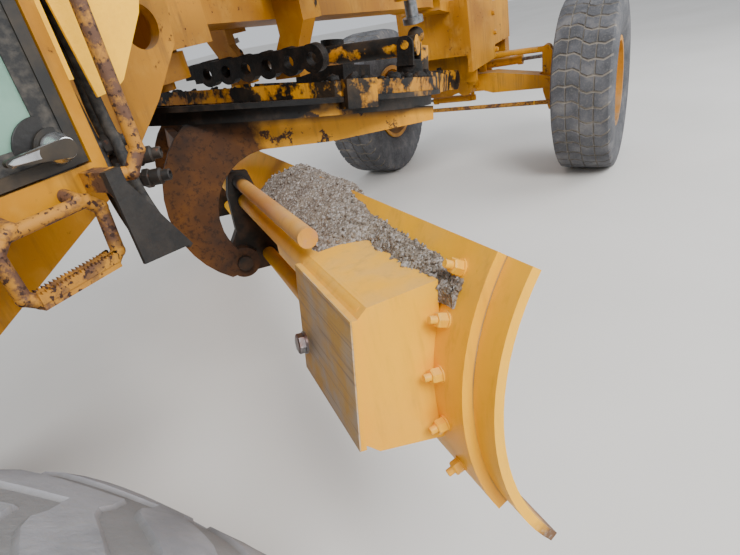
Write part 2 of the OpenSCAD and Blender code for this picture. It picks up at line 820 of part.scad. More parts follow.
module front_axle() {
    x0 = axle_front_x - axle_half_t;
    x1 = axle_front_x + axle_half_t;
    color(paint) {
        difference() {
            union() {
                cross_plate([[-lean_half, 690], [-200, 690], [-120, 715], [120, 715],
                    [200, 690], [lean_half, 690], [lean_half, 790], [220, 860],
                    [-220, 860], [-lean_half, 790]], x0, x1);
                x_rod(bolster_x1 + gap, front_plate_x - gap, 0, axle_pin_z, 85);
                both_sides() x_rod(x0, x1, lean_half, lean_z, 50);
            }
            x_rod(bolster_x1 - 1, front_plate_x + 1, 0, axle_pin_z, axle_pin_r);
            both_sides() span([axle_front_x - slot_half, lean_half - 62, 600],
                [axle_front_x + slot_half, lean_half + 60, 900]);
        }
        both_sides() x_rod(x0 - 12, x1 + 12, lean_half, lean_z, lean_pin_r - gap);
        // lug of the steering cylinder
        span([x1 - 1, steer_pivot_y - 30, 700], [steer_x + 35, steer_pivot_y + 30, 722]);
        z_rod(arm_z - 55, 701, steer_x, steer_pivot_y, 18);
        // lug of the lean cylinder
        x_rod(axle_front_x + 30, lean_cyl_x + 60, lean_cyl_y, lean_cyl_z, 16);
        span([axle_front_x + 20, lean_cyl_y - 30, 840], [axle_front_x + 48, lean_cyl_y + 30,
            lean_cyl_z + 20]);
    }
}

module knuckle(side) {
    x0 = axle_front_x - 40;
    x1 = axle_front_x + 40;
    color(paint) on_side(side) {
        difference() {
            union() {
                cross_plate([[lean_half - 40, lean_z], [lean_half - 34, lean_bar_z],
                    [lean_half + 34, lean_bar_z], [king_half + 44, king_high_z - 4],
                    [king_half + 44, king_high_z - eye_t], [lean_half + knuckle_out, king_high_z - eye_t],
                    [lean_half + knuckle_out, king_low_z + eye_t], [king_half + 44, king_low_z + eye_t],
                    [king_half + 44, king_low_z + 4], [lean_half + 10, king_low_z + 4],
                    [lean_half - 36, 660]], x0, x1);
                x_rod(x0, x1, lean_half, lean_z, 46);
                x_rod(x0, x1, lean_half, lean_bar_z, 36);
                z_rod(king_low_z, king_low_z + eye_t, axle_front_x, king_half, 50);
                z_rod(king_high_z - eye_t, king_high_z, axle_front_x, king_half, 50);
            }
            x_rod(x0 - 1, x1 + 1, lean_half, lean_z, lean_pin_r);
            // slot for the end of the lean bar
            span([axle_front_x - 15, lean_half - 60, lean_bar_z - 52],
                [axle_front_x + 15, lean_half + 44, lean_bar_z + 60]);
        }
        z_rod(king_low_z + 2, king_high_z - 2, axle_front_x, king_half, king_pin_r - gap);
        x_rod(x0 - 6, x1 + 6, lean_half, lean_bar_z, 16 - gap);
        if (side < 0)
            x_rod(x1 - 1, lean_cyl_x + 30, lean_half, lean_eye_z, 15);
    }
}

module spindle(side) {
    low = king_low_z + eye_t + gap;
    high = king_high_z - eye_t - gap;
    color(paint) on_side(side) {
        difference() {
            union() {
                z_rod(low, high, axle_front_x, king_half, 47);
                y_rod(king_half, track / 2 + front_hub_out - 30, axle_front_x, tyre_r, stub_r);
                y_rod(king_half, track / 2 + front_hub_in - 10, axle_front_x, tyre_r, 62);
                y_rod(king_half + 60, track / 2 + front_hub_in - gap, axle_front_x, tyre_r, 52);
                steering_arm(-arm_back);
                if (side > 0)
                    steering_arm(steer_x - axle_front_x);
            }
            z_rod(low - 1, high + 1, axle_front_x, king_half, king_pin_r);
        }
    }
}

// Arm from a kingpin's barrel to a ball pin, reach ahead of the axle.
module steering_arm(reach) {
    s = sign(reach);
    translate([0, 0, arm_z]) linear_extrude(steer_arm_t) polygon([
        [axle_front_x + s * 20, king_half - 36], [axle_front_x + reach, arm_y - 24],
        [axle_front_x + reach, arm_y + 24], [axle_front_x + s * 20, king_half + 36]]);
    z_rod(arm_z, arm_z + steer_arm_t, axle_front_x + reach, arm_y, 26);
    z_rod(arm_z - 50, arm_z + 1, axle_front_x + reach, arm_y, ball_pin_r);
}

module lean_bar() {
    color(paint) {
        y_rod(-lean_half + 76, lean_half - 76, axle_front_x, lean_bar_z, 24);
        both_sides() difference() {
            union() {
                span([axle_front_x - 12, lean_half - 77, lean_bar_z - 22],
                    [axle_front_x + 12, lean_half, lean_bar_z + 22]);
                x_rod(axle_front_x - 12, axle_front_x + 12, lean_half, lean_bar_z, 33);
            }
            x_rod(axle_front_x - 13, axle_front_x + 13, lean_half, lean_bar_z, 16);
        }
    }
}

tie_x = axle_front_x - arm_back;
tie_z = arm_z - 34;

module tie_rod_end() {
    color(dark) {
        z_rod(tie_z - 20, tie_z + 20, tie_x, arm_y, 27, ball_pin_r + gap);
        x_rod(tie_x - 44, tie_x - 24, arm_y, tie_z, 10);
        x_rod(tie_x + 24, tie_x + 44, arm_y, tie_z, 10);
    }
}

module tie_rod() {
    color(paint) {
        difference() {
            union() {
                span([tie_x - 44, arm_y - 75, tie_z - 18], [tie_x - 30, arm_y, tie_z + 18]);
                span([tie_x + 30, arm_y - 75, tie_z - 18], [tie_x + 44, arm_y, tie_z + 18]);
                x_rod(tie_x - 44, tie_x - 30, arm_y, tie_z, 18);
                x_rod(tie_x + 30, tie_x + 44, arm_y, tie_z, 18);
            }
            x_rod(tie_x - 50, tie_x + 50, arm_y, tie_z, 10 + gap);
        }
        span([tie_x - 44, arm_y - 90, tie_z - 18], [tie_x + 44, arm_y - 74, tie_z + 18]);
        y_rod(-arm_y + 32, arm_y - 89, tie_x, tie_z - 4, 18);
        z_rod(tie_z - 10, tie_z + 10, tie_x, -arm_y, 38, ball_pin_r + 14);
    }
}

// Cylinders

// Barrel from its eye at a toward b: a tube with an eye, a rear cap and a gland.
module barrel(a, b, r, bore, len, eye_r) {
    along(a, b) {
        difference() {
            union() {
                translate([0, 0, eye_r]) cylinder(r = r, h = len - eye_r, $fn = 48);
                translate([0, 0, len - 40]) cylinder(r = r + 7, h = 40, $fn = 48);
            }
            translate([0, 0, max(eye_r, 20) + 30]) cylinder(r = bore, h = len, $fn = 48);
        }
    }
}

// Rod of a cylinder from depth d0 to d1 along the way from a to b.
module rod(a, b, r, d0, d1) {
    along(a, b) translate([0, 0, d0]) cylinder(r = r, h = d1 - d0, $fn = 48);
}

steer_from = [steer_x, steer_pivot_y, arm_z - 30];
steer_to = [steer_x, arm_y, arm_z - 30];

module steering_barrel() {
    color(grease) {
        barrel(steer_from, steer_to, 32, 14 + gap, 400, 24);
        z_rod(arm_z - 54, arm_z - 8, steer_x, steer_pivot_y, 30, 18 + gap);
    }
}

module steering_rod() {
    len = norm(steer_to - steer_from);
    color(steel) {
        rod(steer_from, steer_to, 14, 190, len - 76);
        along(steer_from, steer_to) translate([0, 0, len - 120]) cylinder(r = 24, h = 45, $fn = 48);
    }
}

lean_from = [lean_cyl_x, lean_cyl_y, lean_cyl_z];
lean_to = [lean_cyl_x, -lean_half, lean_eye_z];

module lean_barrel() {
    color(grease) {
        barrel(lean_from, lean_to, 36, 16 + gap, 340, 26);
        x_rod(lean_cyl_x - 30, lean_cyl_x + 30, lean_cyl_y, lean_cyl_z, 32, 16 + gap);
    }
}

module lean_rod() {
    len = norm(lean_to - lean_from);
    color(steel) {
        rod(lean_from, lean_to, 16, 125, len - 29);
        x_rod(lean_cyl_x - 24, lean_cyl_x + 24, lean_to[1], lean_to[2], 38, 27);
    }
}

turn_from = [turn_rear_x, turn_rear_y, turn_z];
turn_to = [turn_front_x, turn_front_y, turn_z];

module turn_barrel(side) {
    color(paint) on_side(side) {
        barrel(turn_from, turn_to, cyl_r, rod_r + gap, 560, 34);
        z_rod(turn_z - 49, turn_z + 49, turn_rear_x, turn_rear_y, 38, turn_pin_r + gap);
    }
}

module turn_rod(side) {
    len = norm(turn_to - turn_from);
    color(steel) on_side(side) {
        rod(turn_from, turn_to, rod_r, 300, len - 36);
        z_rod(turn_z - 48, turn_z + 48, turn_front_x, turn_front_y, 46, turn_pin_r + 13);
    }
}

// Drawbar, in its own frame: origin at the ball, X forward, Z off its plane

function turn_x(p, a) = [p[0], p[1] * cos(a) - p[2] * sin(a), p[1] * sin(a) + p[2] * cos(a)];
function turn_y(p, a) = [p[0] * cos(a) + p[2] * sin(a), p[1], -p[0] * sin(a) + p[2] * cos(a)];
function turn_yaw(p, a) = [p[0] * cos(a) - p[1] * sin(a), p[0] * sin(a) + p[1] * cos(a), p[2]];
// Place in the machine of a point given in the drawbar's frame.
function bar_point(p) = ball
    + turn_yaw(turn_y(turn_x(p, drawbar_roll), drawbar_pitch), drawbar_yaw);

module on_drawbar() {
    translate(ball) rotate([drawbar_roll, drawbar_pitch, drawbar_yaw]) children();
}

module on_circle() {
    on_drawbar() translate([-drawbar_len, 0, -drawbar_drop]) rotate([0, 0, -blade_angle])
        children();
}

ring_top = -drawbar_drop + circle_h;
plate_low = ring_top + gap;
plate_t = 50;
ring_lip = 18;
shoe_gap = 5;
swivel_r = 84;
trunnion_y = 92;
post_x = -drawbar_len + 410;
post_y = 552;
post_top = 150;
lift_ball_r = 38;
lift_right = bar_point([post_x, -post_y, post_top + 46]);
lift_left = bar_point([post_x, post_y, post_top + 46]);
shift_x = post_x - 140;
shift_y = -post_y - 30;
shift_z = plate_low + plate_t + 135;
shift_from = bar_point([shift_x, shift_y, shift_z]);
shift_eye = [700, 360, 1450];
shift_to = shift_eye;
shift_short = 70;
// The way of the shift cylinder in the drawbar's own frame, as a turn about its Z.
shift_turn = atan2(shift_to[1] - shift_from[1], shift_to[0] - shift_from[0]) - 90
    - drawbar_yaw;

module drawbar_swivel() {
    color(grease) on_drawbar() {
        difference() {
            union() {
                sphere(r = swivel_r, $fn = 64);
                y_rod(-trunnion_y - 44, trunnion_y + 44, 0, 0, 34);
            }
            sphere(r = ball_r + gap, $fn = 64);
            translate([28, -200, -200]) cube(400);
        }
    }
    // grease boss on the axis of the swing
    color(grease) translate(ball) z_rod(swivel_r - 6, swivel_r + 12, 0, 0, 18);
}

module drawbar() {
    head = 190;
    color(paint) on_drawbar() {
        difference() {
            union() {
                // cheeks of the head and the bar behind it
                both_sides() {
                    span([-head, trunnion_y, -70], [0, trunnion_y + 44, 70]);
                    y_rod(trunnion_y, trunnion_y + 44, 0, 0, 70);
                }
                mid_span(-head - 160, -head + 40, trunnion_y + 44, -70, 70);
                // plate over the circle
                difference() {
                    translate([-drawbar_len, 0, plate_low]) cylinder(r = circle_r - 12,
                        h = plate_t, $fn = 96);
                    translate([-drawbar_len, 0, plate_low - 1]) cylinder(r = circle_r - 200,
                        h = plate_t + 2, $fn = 96);
                    mid_span(-drawbar_len - 900, -drawbar_len - 430, 900, -200, 200);
                }
                mid_span(-drawbar_len - 430, -drawbar_len - 320, 520, plate_low,
                    plate_low + plate_t);
                mid_span(-drawbar_len + 440, -drawbar_len + 660, 330, plate_low,
                    plate_low + plate_t + 6);
                // posts of the lift balls
                both_sides() z_rod(plate_low + 1, post_top, post_x, post_y, 56);
                // two legs to the circle, which stay above it
                difference() {
                    both_sides() translate([0, 0, -70]) linear_extrude(110) polygon([
                        [-head, 10], [-head, trunnion_y + 44],
                        [-drawbar_len + 560, 560], [-drawbar_len + 460, 480]]);
                    translate([-drawbar_len, 0, -300]) cylinder(r = circle_r + 6,
                        h = 300 + ring_top + gap, $fn = 96);
                }
            }
            y_rod(-300, 300, 0, 0, 34 + gap);
            sphere(r = swivel_r + 6, $fn = 64);
            z_rod(-200, 200, pinion_x, 0, 34 + gap);
        }
        // shoes that hold the circle up
        for (a = [32, 118, -118, -32]) translate([-drawbar_len, 0, 0]) rotate([0, 0, a]) {
            span([circle_r + shoe_gap, -60, ring_top - 40],
                [circle_r + 27, 60, plate_low + plate_t + 4]);
            span([circle_r - 28, -60, ring_top - 40],
                [circle_r + shoe_gap + 1, 60, ring_top - ring_lip - gap]);
            span([circle_r - 60, -60, plate_low + 2],
                [circle_r + shoe_gap + 1, 60, plate_low + plate_t + 4]);
        }
    }
    color(steel) for (p = [lift_right, lift_left]) {
        translate(p) rotate([drawbar_roll, drawbar_pitch, drawbar_yaw]) {
            sphere(r = lift_ball_r, $fn = 48);
            translate([0, 0, -47]) cylinder(r = 26, h = 30, $fn = 48);
        }
    }
    // pin of the shift cylinder
    color(grease) on_drawbar() {
        z_rod(plate_low + plate_t - 1, shift_z - 62, shift_x, shift_y, 22);
        z_rod(plate_low + plate_t - 1, shift_z - 118 - gap, shift_x, shift_y, 58);
    }
}

// Circle with its inner teeth and the two arms below it

tooth_pitch_r = circle_r - 100;
tooth_m = 2 * tooth_pitch_r / circle_teeth;
pinion_teeth = 11;
pinion_r = pinion_teeth * tooth_m / 2;
pinion_x = -drawbar_len + tooth_pitch_r - pinion_r;

// Outline of a gear: n teeth between two radii, with their widths in degrees.
function gear(n, root, tip, root_w, tip_w) = [
    for (i = [0 : n - 1], k = [0 : 3])
        let (a = i * 360 / n + [-root_w, -tip_w, tip_w, root_w][k] / 2,
            r = [root, tip, tip, root][k])
        r * [cos(a), sin(a)]];

// Circle through three points, as n points from the first to the last.
function arc3(a, b, c, n) = let (
    d = 2 * (a[0] * (b[1] - c[1]) + b[0] * (c[1] - a[1]) + c[0] * (a[1] - b[1])),
    x = ((a * a) * (b[1] - c[1]) + (b * b) * (c[1] - a[1]) + (c * c) * (a[1] - b[1])) / d,
    y = ((a * a) * (c[0] - b[0]) + (b * b) * (a[0] - c[0]) + (c * c) * (b[0] - a[0])) / d,
    r = norm(a - [x, y]),
    a0 = atan2(a[1] - y, a[0] - x),
    turn = cross(b - a, c - b) > 0 ? 1 : -1,
    sweep = turn * ((turn * (atan2(c[1] - y, c[0] - x) - a0) + 720) % 360))
    [for (i = [0 : n]) [x, y] + r * [cos(a0 + sweep * i / n), sin(a0 + sweep * i / n)]];

tilt_pivot = [-310, -512];
tilt_pin_r = 28;
ring_in = tooth_pitch_r + 25;
ring_out = circle_r - 40;

module blade_circle() {
    chord = sqrt(circle_r * circle_r - arm_mid * arm_mid) - 4;
    color(rust) on_circle() {
        difference() {
            union() {
                cylinder(r = ring_out, h = circle_h, $fn = 96);
                translate([0, 0, circle_h - ring_lip]) cylinder(r = circle_r, h = ring_lip,
                    $fn = 96);
            }
            translate([0, 0, -1]) cylinder(r = ring_in - 1, h = circle_h + 2, $fn = 96);
        }
        difference() {
            translate([0, 0, 6]) cylinder(r = ring_in, h = circle_h - 12, $fn = 96);
            translate([0, 0, 5]) linear_extrude(circle_h)
                polygon(gear(circle_teeth, tooth_pitch_r + 22, tooth_pitch_r - 18, 4.0, 2.6));
        }
        for (s = [-1, 1]) {
            difference() {
                union() {
                    side_plate(concat(
                        arc3([-442, 1], [-545, -190], [-362, -562], 12),
                        [[tilt_pivot[0] + 50, tilt_pivot[1] - 20], [tilt_pivot[0] + 50, -475]],
                        arc3([-325, -462], [-374, -290], [-190, -104], 10),
                        [[72, -99], [chord, -52], [chord, 1]]),
                        s * arm_mid - arm_t / 2, s * arm_mid + arm_t / 2);
                    y_rod(s * arm_mid - arm_t / 2, s * arm_mid + arm_t / 2,
                        tilt_pivot[0], tilt_pivot[1], 58);
                }
                y_rod(s * arm_mid - 90, s * arm_mid + 90, tilt_pivot[0], tilt_pivot[1],
                    tilt_pin_r);
            }
        }
        // web across between the arms, behind the ring
        side_plate([[-470, -60], [-430, -60], [-430, -150], [-470, -150]],
            -arm_mid, arm_mid);
    }
}

module circle_drive() {
    x = pinion_x;
    z = plate_low + plate_t;
    color(grease) on_drawbar() {
        mid_span(x - 150, x + 130, 150, z + 6, z + 90);
        z_rod(z + 90, z + 110, x, 0, 110);
        z_rod(z + 110, z + 220, x, 0, 62);
        z_rod(-drawbar_drop + 4, z + 7, x, 0, 34);
    }
}

module circle_pinion() {
    // a tooth of the pinion stands in the gap of the circle's teeth
    phase = (180 / circle_teeth - blade_angle) * circle_teeth / pinion_teeth;
    color(grease) on_drawbar() translate([pinion_x, 0, -drawbar_drop + 8]) difference() {
        rotate([0, 0, phase]) linear_extrude(circle_h - 16) polygon(gear(pinion_teeth, pinion_r - 24,
            pinion_r + 17, 17.3, 8.4));
        translate([0, 0, -1]) cylinder(r = 34 + gap, h = circle_h, $fn = 48);
    }
}

// Tilt brackets and blade, in the circle's frame

rail_up = [-265, -290];
rail_low = [-205, -505];
side_cyl = [-285, -213];
side_cyl_r = 23;
side_rod_r = 13;
bracket_t = 52;
bracket_out = arm_mid - arm_t / 2 - gap;

module tilt_brackets() {
    color(rust) on_circle() {
        for (s = [-1, 1]) {
            y0 = s > 0 ? bracket_out - bracket_t : -bracket_out;
            difference() {
                side_plate([[-352, -540], [-300, -566], [-185, -556], [-166, -520],
                    [-172, -470], [-222, -400], [-215, -270], [-248, -178], [-318, -178],
                    [-330, -260], [-318, -400], [-352, -470]], y0, y0 + bracket_t);
                y_rod(y0 - 1, y0 + bracket_t + 1, rail_up[0], rail_up[1], rail_up_r + gap);
                y_rod(y0 - 1, y0 + bracket_t + 1, rail_low[0], rail_low[1], rail_low_r + gap);
                y_rod(y0 - 1, y0 + bracket_t + 1, side_cyl[0], side_cyl[1], side_rod_r + gap);
            }
            // pivot pin, through the arm
            y_rod(s > 0 ? y0 + 1 : y0 - arm_t - 20, s > 0 ? y0 + bracket_t + arm_t + 20
                : y0 + bracket_t - 1, tilt_pivot[0], tilt_pivot[1], tilt_pin_r - gap);
        }
        // barrel of the side shift cylinder
        difference() {
            y_rod(-blade_len / 2 + 380, bracket_out, side_cyl[0], side_cyl[1], side_cyl_r);
            y_rod(-blade_len / 2 + 400, bracket_out + 1, side_cyl[0], side_cyl[1],
                side_rod_r + gap);
        }
    }
}

arc_mid = [362, -418];
top_angle = 151;
low_angle = 214;
edge_angle = 225.5;
box_out = 97;
box_len = 335;
box_back = -298;
bit_len = 250;
bit_over = 60;
bit_over_left = 18.5;

// Curved plate of the blade between two radii and two angles, from y0 to y1.
module blade_arc(r0, r1, a0, a1, y0, y1) {
    translate([arc_mid[0], y0, arc_mid[1]]) rotate([-90, 0, 0]) rotate([0, 0, -a1])
        rotate_extrude(angle = a1 - a0, $fn = 180) translate([r0, 0]) square([r1 - r0, y1 - y0]);
}

module moldboard() {
    h = blade_len / 2;
    back = blade_r + blade_t;
    color(fresh_paint) on_circle() translate([0, blade_shift, 0]) {
        blade_arc(blade_r, back, top_angle, low_angle, -h, h);
        both_sides() {
            difference() {
                side_plate([[-140, -238], [-278, -262], [box_back, -282], [box_back, -535],
                    [-268, -560], [-128, -575]], h - box_out - box_len, h - box_out);
                side_plate([[-120, -258], [-268, -276], [box_back + 12, -290],
                    [box_back + 12, -600], [-100, -600]],
                    h - box_out - box_len + 14, h - box_out - 14);
                blade_arc(back - 200, back - 5, top_angle - 5, low_angle + 10, 0, h + 10);
            }
            span([box_back - 13, h - box_out - box_len - 6, -542],
                [box_back + 1, h - box_out + 6, -278]);
        }
        // slide rails between the two boxes
        y_rod(-h + box_out + 20, h - box_out - 20, rail_up[0], rail_up[1], rail_up_r);
        y_rod(-h + box_out + 20, h - box_out - 20, rail_low[0], rail_low[1], rail_low_r);
        // rod of the side shift cylinder, with its lug on the left box
        y_rod(-100, h - box_out - 120, side_cyl[0], side_cyl[1], side_rod_r);
        span([side_cyl[0] - 22, h - box_out - 160, -275], [side_cyl[0] + 22,
            h - box_out - 110, side_cyl[1] + 20]);
    }
}

module cutting_edge() {
    h = blade_len / 2;
    color(dark) on_circle() translate([0, blade_shift, 0]) {
        blade_arc(blade_r - edge_t, blade_r, low_angle - 8, edge_angle, -h + bit_len, h - bit_len);
        // end bits, the left one without the wide overhang
        blade_arc(blade_r - edge_t, blade_r, top_angle, edge_angle, -h - bit_over,
            -h + bit_len + 1);
        blade_arc(blade_r - edge_t, blade_r, top_angle, edge_angle, h - bit_len - 1,
            h + bit_over_left);
    }
}

// Lift and shift cylinders

lift_mid = 305;
lift_top = 420;
socket_gap = 16;

// Foot of a lift cylinder's rod: the centre of its ball on the drawbar.
function lift_foot(side) = side > 0 ? lift_left : lift_right;

module lift_barrel(side) {
    a = [lift_x, side * lift_y, lift_z];
    color(grease) {
        along(a, lift_foot(side)) difference() {
            union() {
                translate([0, 0, -lift_top]) cylinder(r = lift_r, h = lift_top + lift_mid, $fn = 64);
                translate([0, 0, -55]) cylinder(r = lift_r + 12, h = 110, $fn = 64);
                translate([0, 0, lift_mid - 46]) cylinder(r = lift_r + 8, h = 46, $fn = 64);
            }
            translate([0, 0, -lift_top + 30]) cylinder(r = lift_rod_r + gap,
                h = lift_top + lift_mid, $fn = 64);
        }
        // stem of the yoke, in the boss of the saddle's arm
        x_rod(stem_x0 - 14, lift_x - lift_r + 8, side * lift_y, lift_z, lift_pin_r - gap);
    }
}

module lift_rod(side) {
    a = [lift_x, side * lift_y, lift_z];
    len = norm(lift_foot(side) - a);
    socket = len - lift_ball_r - socket_gap;
    color(steel) along(a, lift_foot(side)) {
        translate([0, 0, -300]) cylinder(r = lift_rod_r, h = 300 + socket - 10, $fn = 48);
        translate([0, 0, socket - 26]) cylinder(r = 46, h = 26, $fn = 48);
    }
}

// Block on the drawbar's pin that carries the shift cylinder between its two lugs.
module shift_head() {
    low = -118;
    color(grease) on_drawbar() translate([shift_x, shift_y, shift_z]) difference() {
        union() {
            translate([0, 0, low]) cylinder(r = 58, h = 54, $fn = 48);
            rotate([0, 0, shift_turn]) {
                translate([-67, -36, low + 36]) cube([134, 72, 26]);
                for (s = [-1, 1]) {
                    translate([s * 56 - 11, -36, low + 36]) cube([22, 72, 82]);
                    translate([s * 56 - 11, 0, 0]) rotate([0, 90, 0])
                        cylinder(r = 36, h = 22, $fn = 48);
                }
            }
        }
        translate([0, 0, low - 1]) cylinder(r = 22 + gap, h = 72, $fn = 48);
        rotate([0, 0, shift_turn]) translate([-100, 0, 0]) rotate([0, 90, 0])
            cylinder(r = 18 + gap, h = 200, $fn = 48);
    }
}

module shift_barrel() {
    color(grease) {
        barrel(shift_from, shift_to, 42, rod_r + gap, 600, -38);
        on_drawbar() translate([shift_x, shift_y, shift_z]) rotate([0, 0, shift_turn])
            translate([-70, 0, 0]) rotate([0, 90, 0]) cylinder(r = 18, h = 140, $fn = 48);
    }
}

module shift_rod() {
    len = norm(shift_to - shift_from);
    color(steel) {
        rod(shift_from, shift_to, rod_r, 300, len - shift_short + 1);
        along(shift_from, shift_to) translate([0, 0, len - shift_short - 60])
            cylinder(r = 27, h = 60, $fn = 48);
    }
}

rear_frame();
engine_hood();
engine_block();
exhaust_stack();
rear_grille();
cab_shell();
cab_roof();
cab_glass();
door(-1);  // door_right
door(1);  // door_left
seat();
console();
steps_and_rails();
tandem_drive();
tyre(axle_1_x, -1);  // tyre_rear_1_right
tyre(axle_1_x, 1);  // tyre_rear_1_left
tyre(axle_2_x, -1);  // tyre_rear_2_right
tyre(axle_2_x, 1);  // tyre_rear_2_left
rim_rear(axle_1_x, -1);  // rim_rear_1_right
rim_rear(axle_1_x, 1);  // rim_rear_1_left
rim_rear(axle_2_x, -1);  // rim_rear_2_right
rim_rear(axle_2_x, 1);  // rim_rear_2_left
front_frame();
saddle_arms();
link_bar();
front_axle();
knuckle(-1);  // knuckle_right
knuckle(1);  // knuckle_left
spindle(-1);  // spindle_right
spindle(1);  // spindle_left
tyre(axle_front_x, -1);  // tyre_front_right
tyre(axle_front_x, 1);  // tyre_front_left
rim_front(-1);  // rim_front_right
rim_front(1);  // rim_front_left
lean_bar();
tie_rod_end();
tie_rod();
steering_barrel();
steering_rod();
lean_barrel();
lean_rod();
turn_barrel(-1);  // turn_barrel_right
turn_barrel(1);  // turn_barrel_left
turn_rod(-1);  // turn_rod_right
turn_rod(1);  // turn_rod_left
drawbar_swivel();
drawbar();
circle_drive();
circle_pinion();
blade_circle();
tilt_brackets();
moldboard();
cutting_edge();
lift_barrel(-1);  // lift_barrel_right
lift_barrel(1);  // lift_barrel_left
lift_rod(-1);  // lift_rod_right
lift_rod(1);  // lift_rod_left
shift_head();
shift_barrel();
shift_rod();
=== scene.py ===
"""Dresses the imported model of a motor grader: finishes, treads, bolts, hoses, soil, grease and trim.

Lengths are metres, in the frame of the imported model. The file is laid out as a Blender add-on
and run as a script.
"""

import fnmatch
import math

import bpy
import numpy as np
from bpy.props import FloatProperty, FloatVectorProperty, IntProperty, PointerProperty
from mathutils import Matrix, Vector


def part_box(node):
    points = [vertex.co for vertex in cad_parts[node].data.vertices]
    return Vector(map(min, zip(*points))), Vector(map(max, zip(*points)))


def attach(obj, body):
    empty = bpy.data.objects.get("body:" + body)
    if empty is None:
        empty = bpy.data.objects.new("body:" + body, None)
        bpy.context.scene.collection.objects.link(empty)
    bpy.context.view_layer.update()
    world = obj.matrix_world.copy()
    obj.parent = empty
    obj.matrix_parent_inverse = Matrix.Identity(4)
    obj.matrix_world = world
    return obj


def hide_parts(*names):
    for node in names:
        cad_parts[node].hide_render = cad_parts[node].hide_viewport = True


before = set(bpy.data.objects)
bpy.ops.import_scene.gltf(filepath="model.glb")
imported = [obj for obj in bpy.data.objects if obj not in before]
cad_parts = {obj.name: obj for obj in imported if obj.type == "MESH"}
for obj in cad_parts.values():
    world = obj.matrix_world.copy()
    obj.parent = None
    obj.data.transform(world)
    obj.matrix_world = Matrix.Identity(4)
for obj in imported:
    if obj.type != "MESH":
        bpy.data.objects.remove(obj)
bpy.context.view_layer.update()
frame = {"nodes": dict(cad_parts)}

bl_info = {
    "name": "Motor grader dressing",
    "version": (1, 0, 0),
    "blender": (4, 5, 0),
    "location": "3D View > Sidebar > Grader",
    "description": "Finishes, treads, fasteners, hoses, soil and trim of a motor grader",
    "category": "Object",
}


# Frames and numbers of the machine


def move(x, y, z):
    """4 x 4 matrix of a shift."""
    m = np.eye(4)
    m[:3, 3] = (x, y, z)
    return m


def turn(axis, degrees):
    """4 x 4 matrix of a turn about X, Y or Z."""
    a = math.radians(degrees)
    i, j = {"x": (1, 2), "y": (2, 0), "z": (0, 1)}[axis]
    m = np.eye(4)
    m[i, i] = m[j, j] = math.cos(a)
    m[i, j], m[j, i] = -math.sin(a), math.sin(a)
    return m


def frame_at(origin, z_axis, x_hint=(0, 0, 1)):
    """4 x 4 matrix with its Z along z_axis and its X as near to x_hint as that allows."""
    z = np.array(z_axis, float)
    z /= np.linalg.norm(z)
    x = np.array(x_hint, float)
    x = x - z * x.dot(z)
    x /= np.linalg.norm(x)
    m = np.eye(4)
    m[:3, 0], m[:3, 1], m[:3, 2], m[:3, 3] = x, np.cross(z, x), z, origin
    return m


# Frames of the drawbar's ball, the circle's centre and the blade
BAR = move(2.6, 0, 0.955) @ turn("z", 0.7) @ turn("y", 10.9) @ turn("x", 2.5)
DRAWBAR_LEN = 2.08
CIRCLE = BAR @ move(-DRAWBAR_LEN, 0, -0.1) @ turn("z", -37.6)
BLADE = CIRCLE @ move(0, -0.02, 0)
# Middle (x, z) and radii of the blade's curve, in the blade's frame
ARC_MID = (0.362, -0.418)
ARC_BACK = 0.513
ARC_FRONT = 0.490
# Wheels
TYRE_R = 0.674
HALF_TRACK = 1.016
AXLES = {"front": 3.35, "rear_1": -1.708, "rear_2": -3.232}
SIDES = {"right": -1, "left": 1}
# Cab and hood: half widths, Y of the doors' outer faces, X of the cab's front, Z of the hood's top
CAB_HALF, DOOR_FACE, CAB_FRONT = 0.655, 0.6375, -0.74
HOOD_HALF, HOOD_TOP = 0.5, 2.23
# A door's pane: low x, high x, low z, high z
PANE = (-1.511, -0.797, 1.479, 2.991)


def to(matrix, points):
    """Points of a local frame, as an array that ends in 3, put into the machine's frame."""
    points = np.asarray(points, float)
    return points @ matrix[:3, :3].T + matrix[:3, 3]


def wheel_frame(axle, side):
    """A wheel's frame: Z along the axle and out of the machine, X forwards."""
    centre = (AXLES[axle], SIDES[side] * HALF_TRACK, TYRE_R)
    return frame_at(centre, (0, SIDES[side], 0), (1, 0, 0))


# Mesh building


def add(data, matrix=np.eye(4)):
    """Puts a mesh, lamp or camera into the scene as an object of its own name."""
    obj = bpy.data.objects.new(data.name, data)
    obj.matrix_world = Matrix(matrix.tolist())
    bpy.context.scene.collection.objects.link(obj)
    return obj


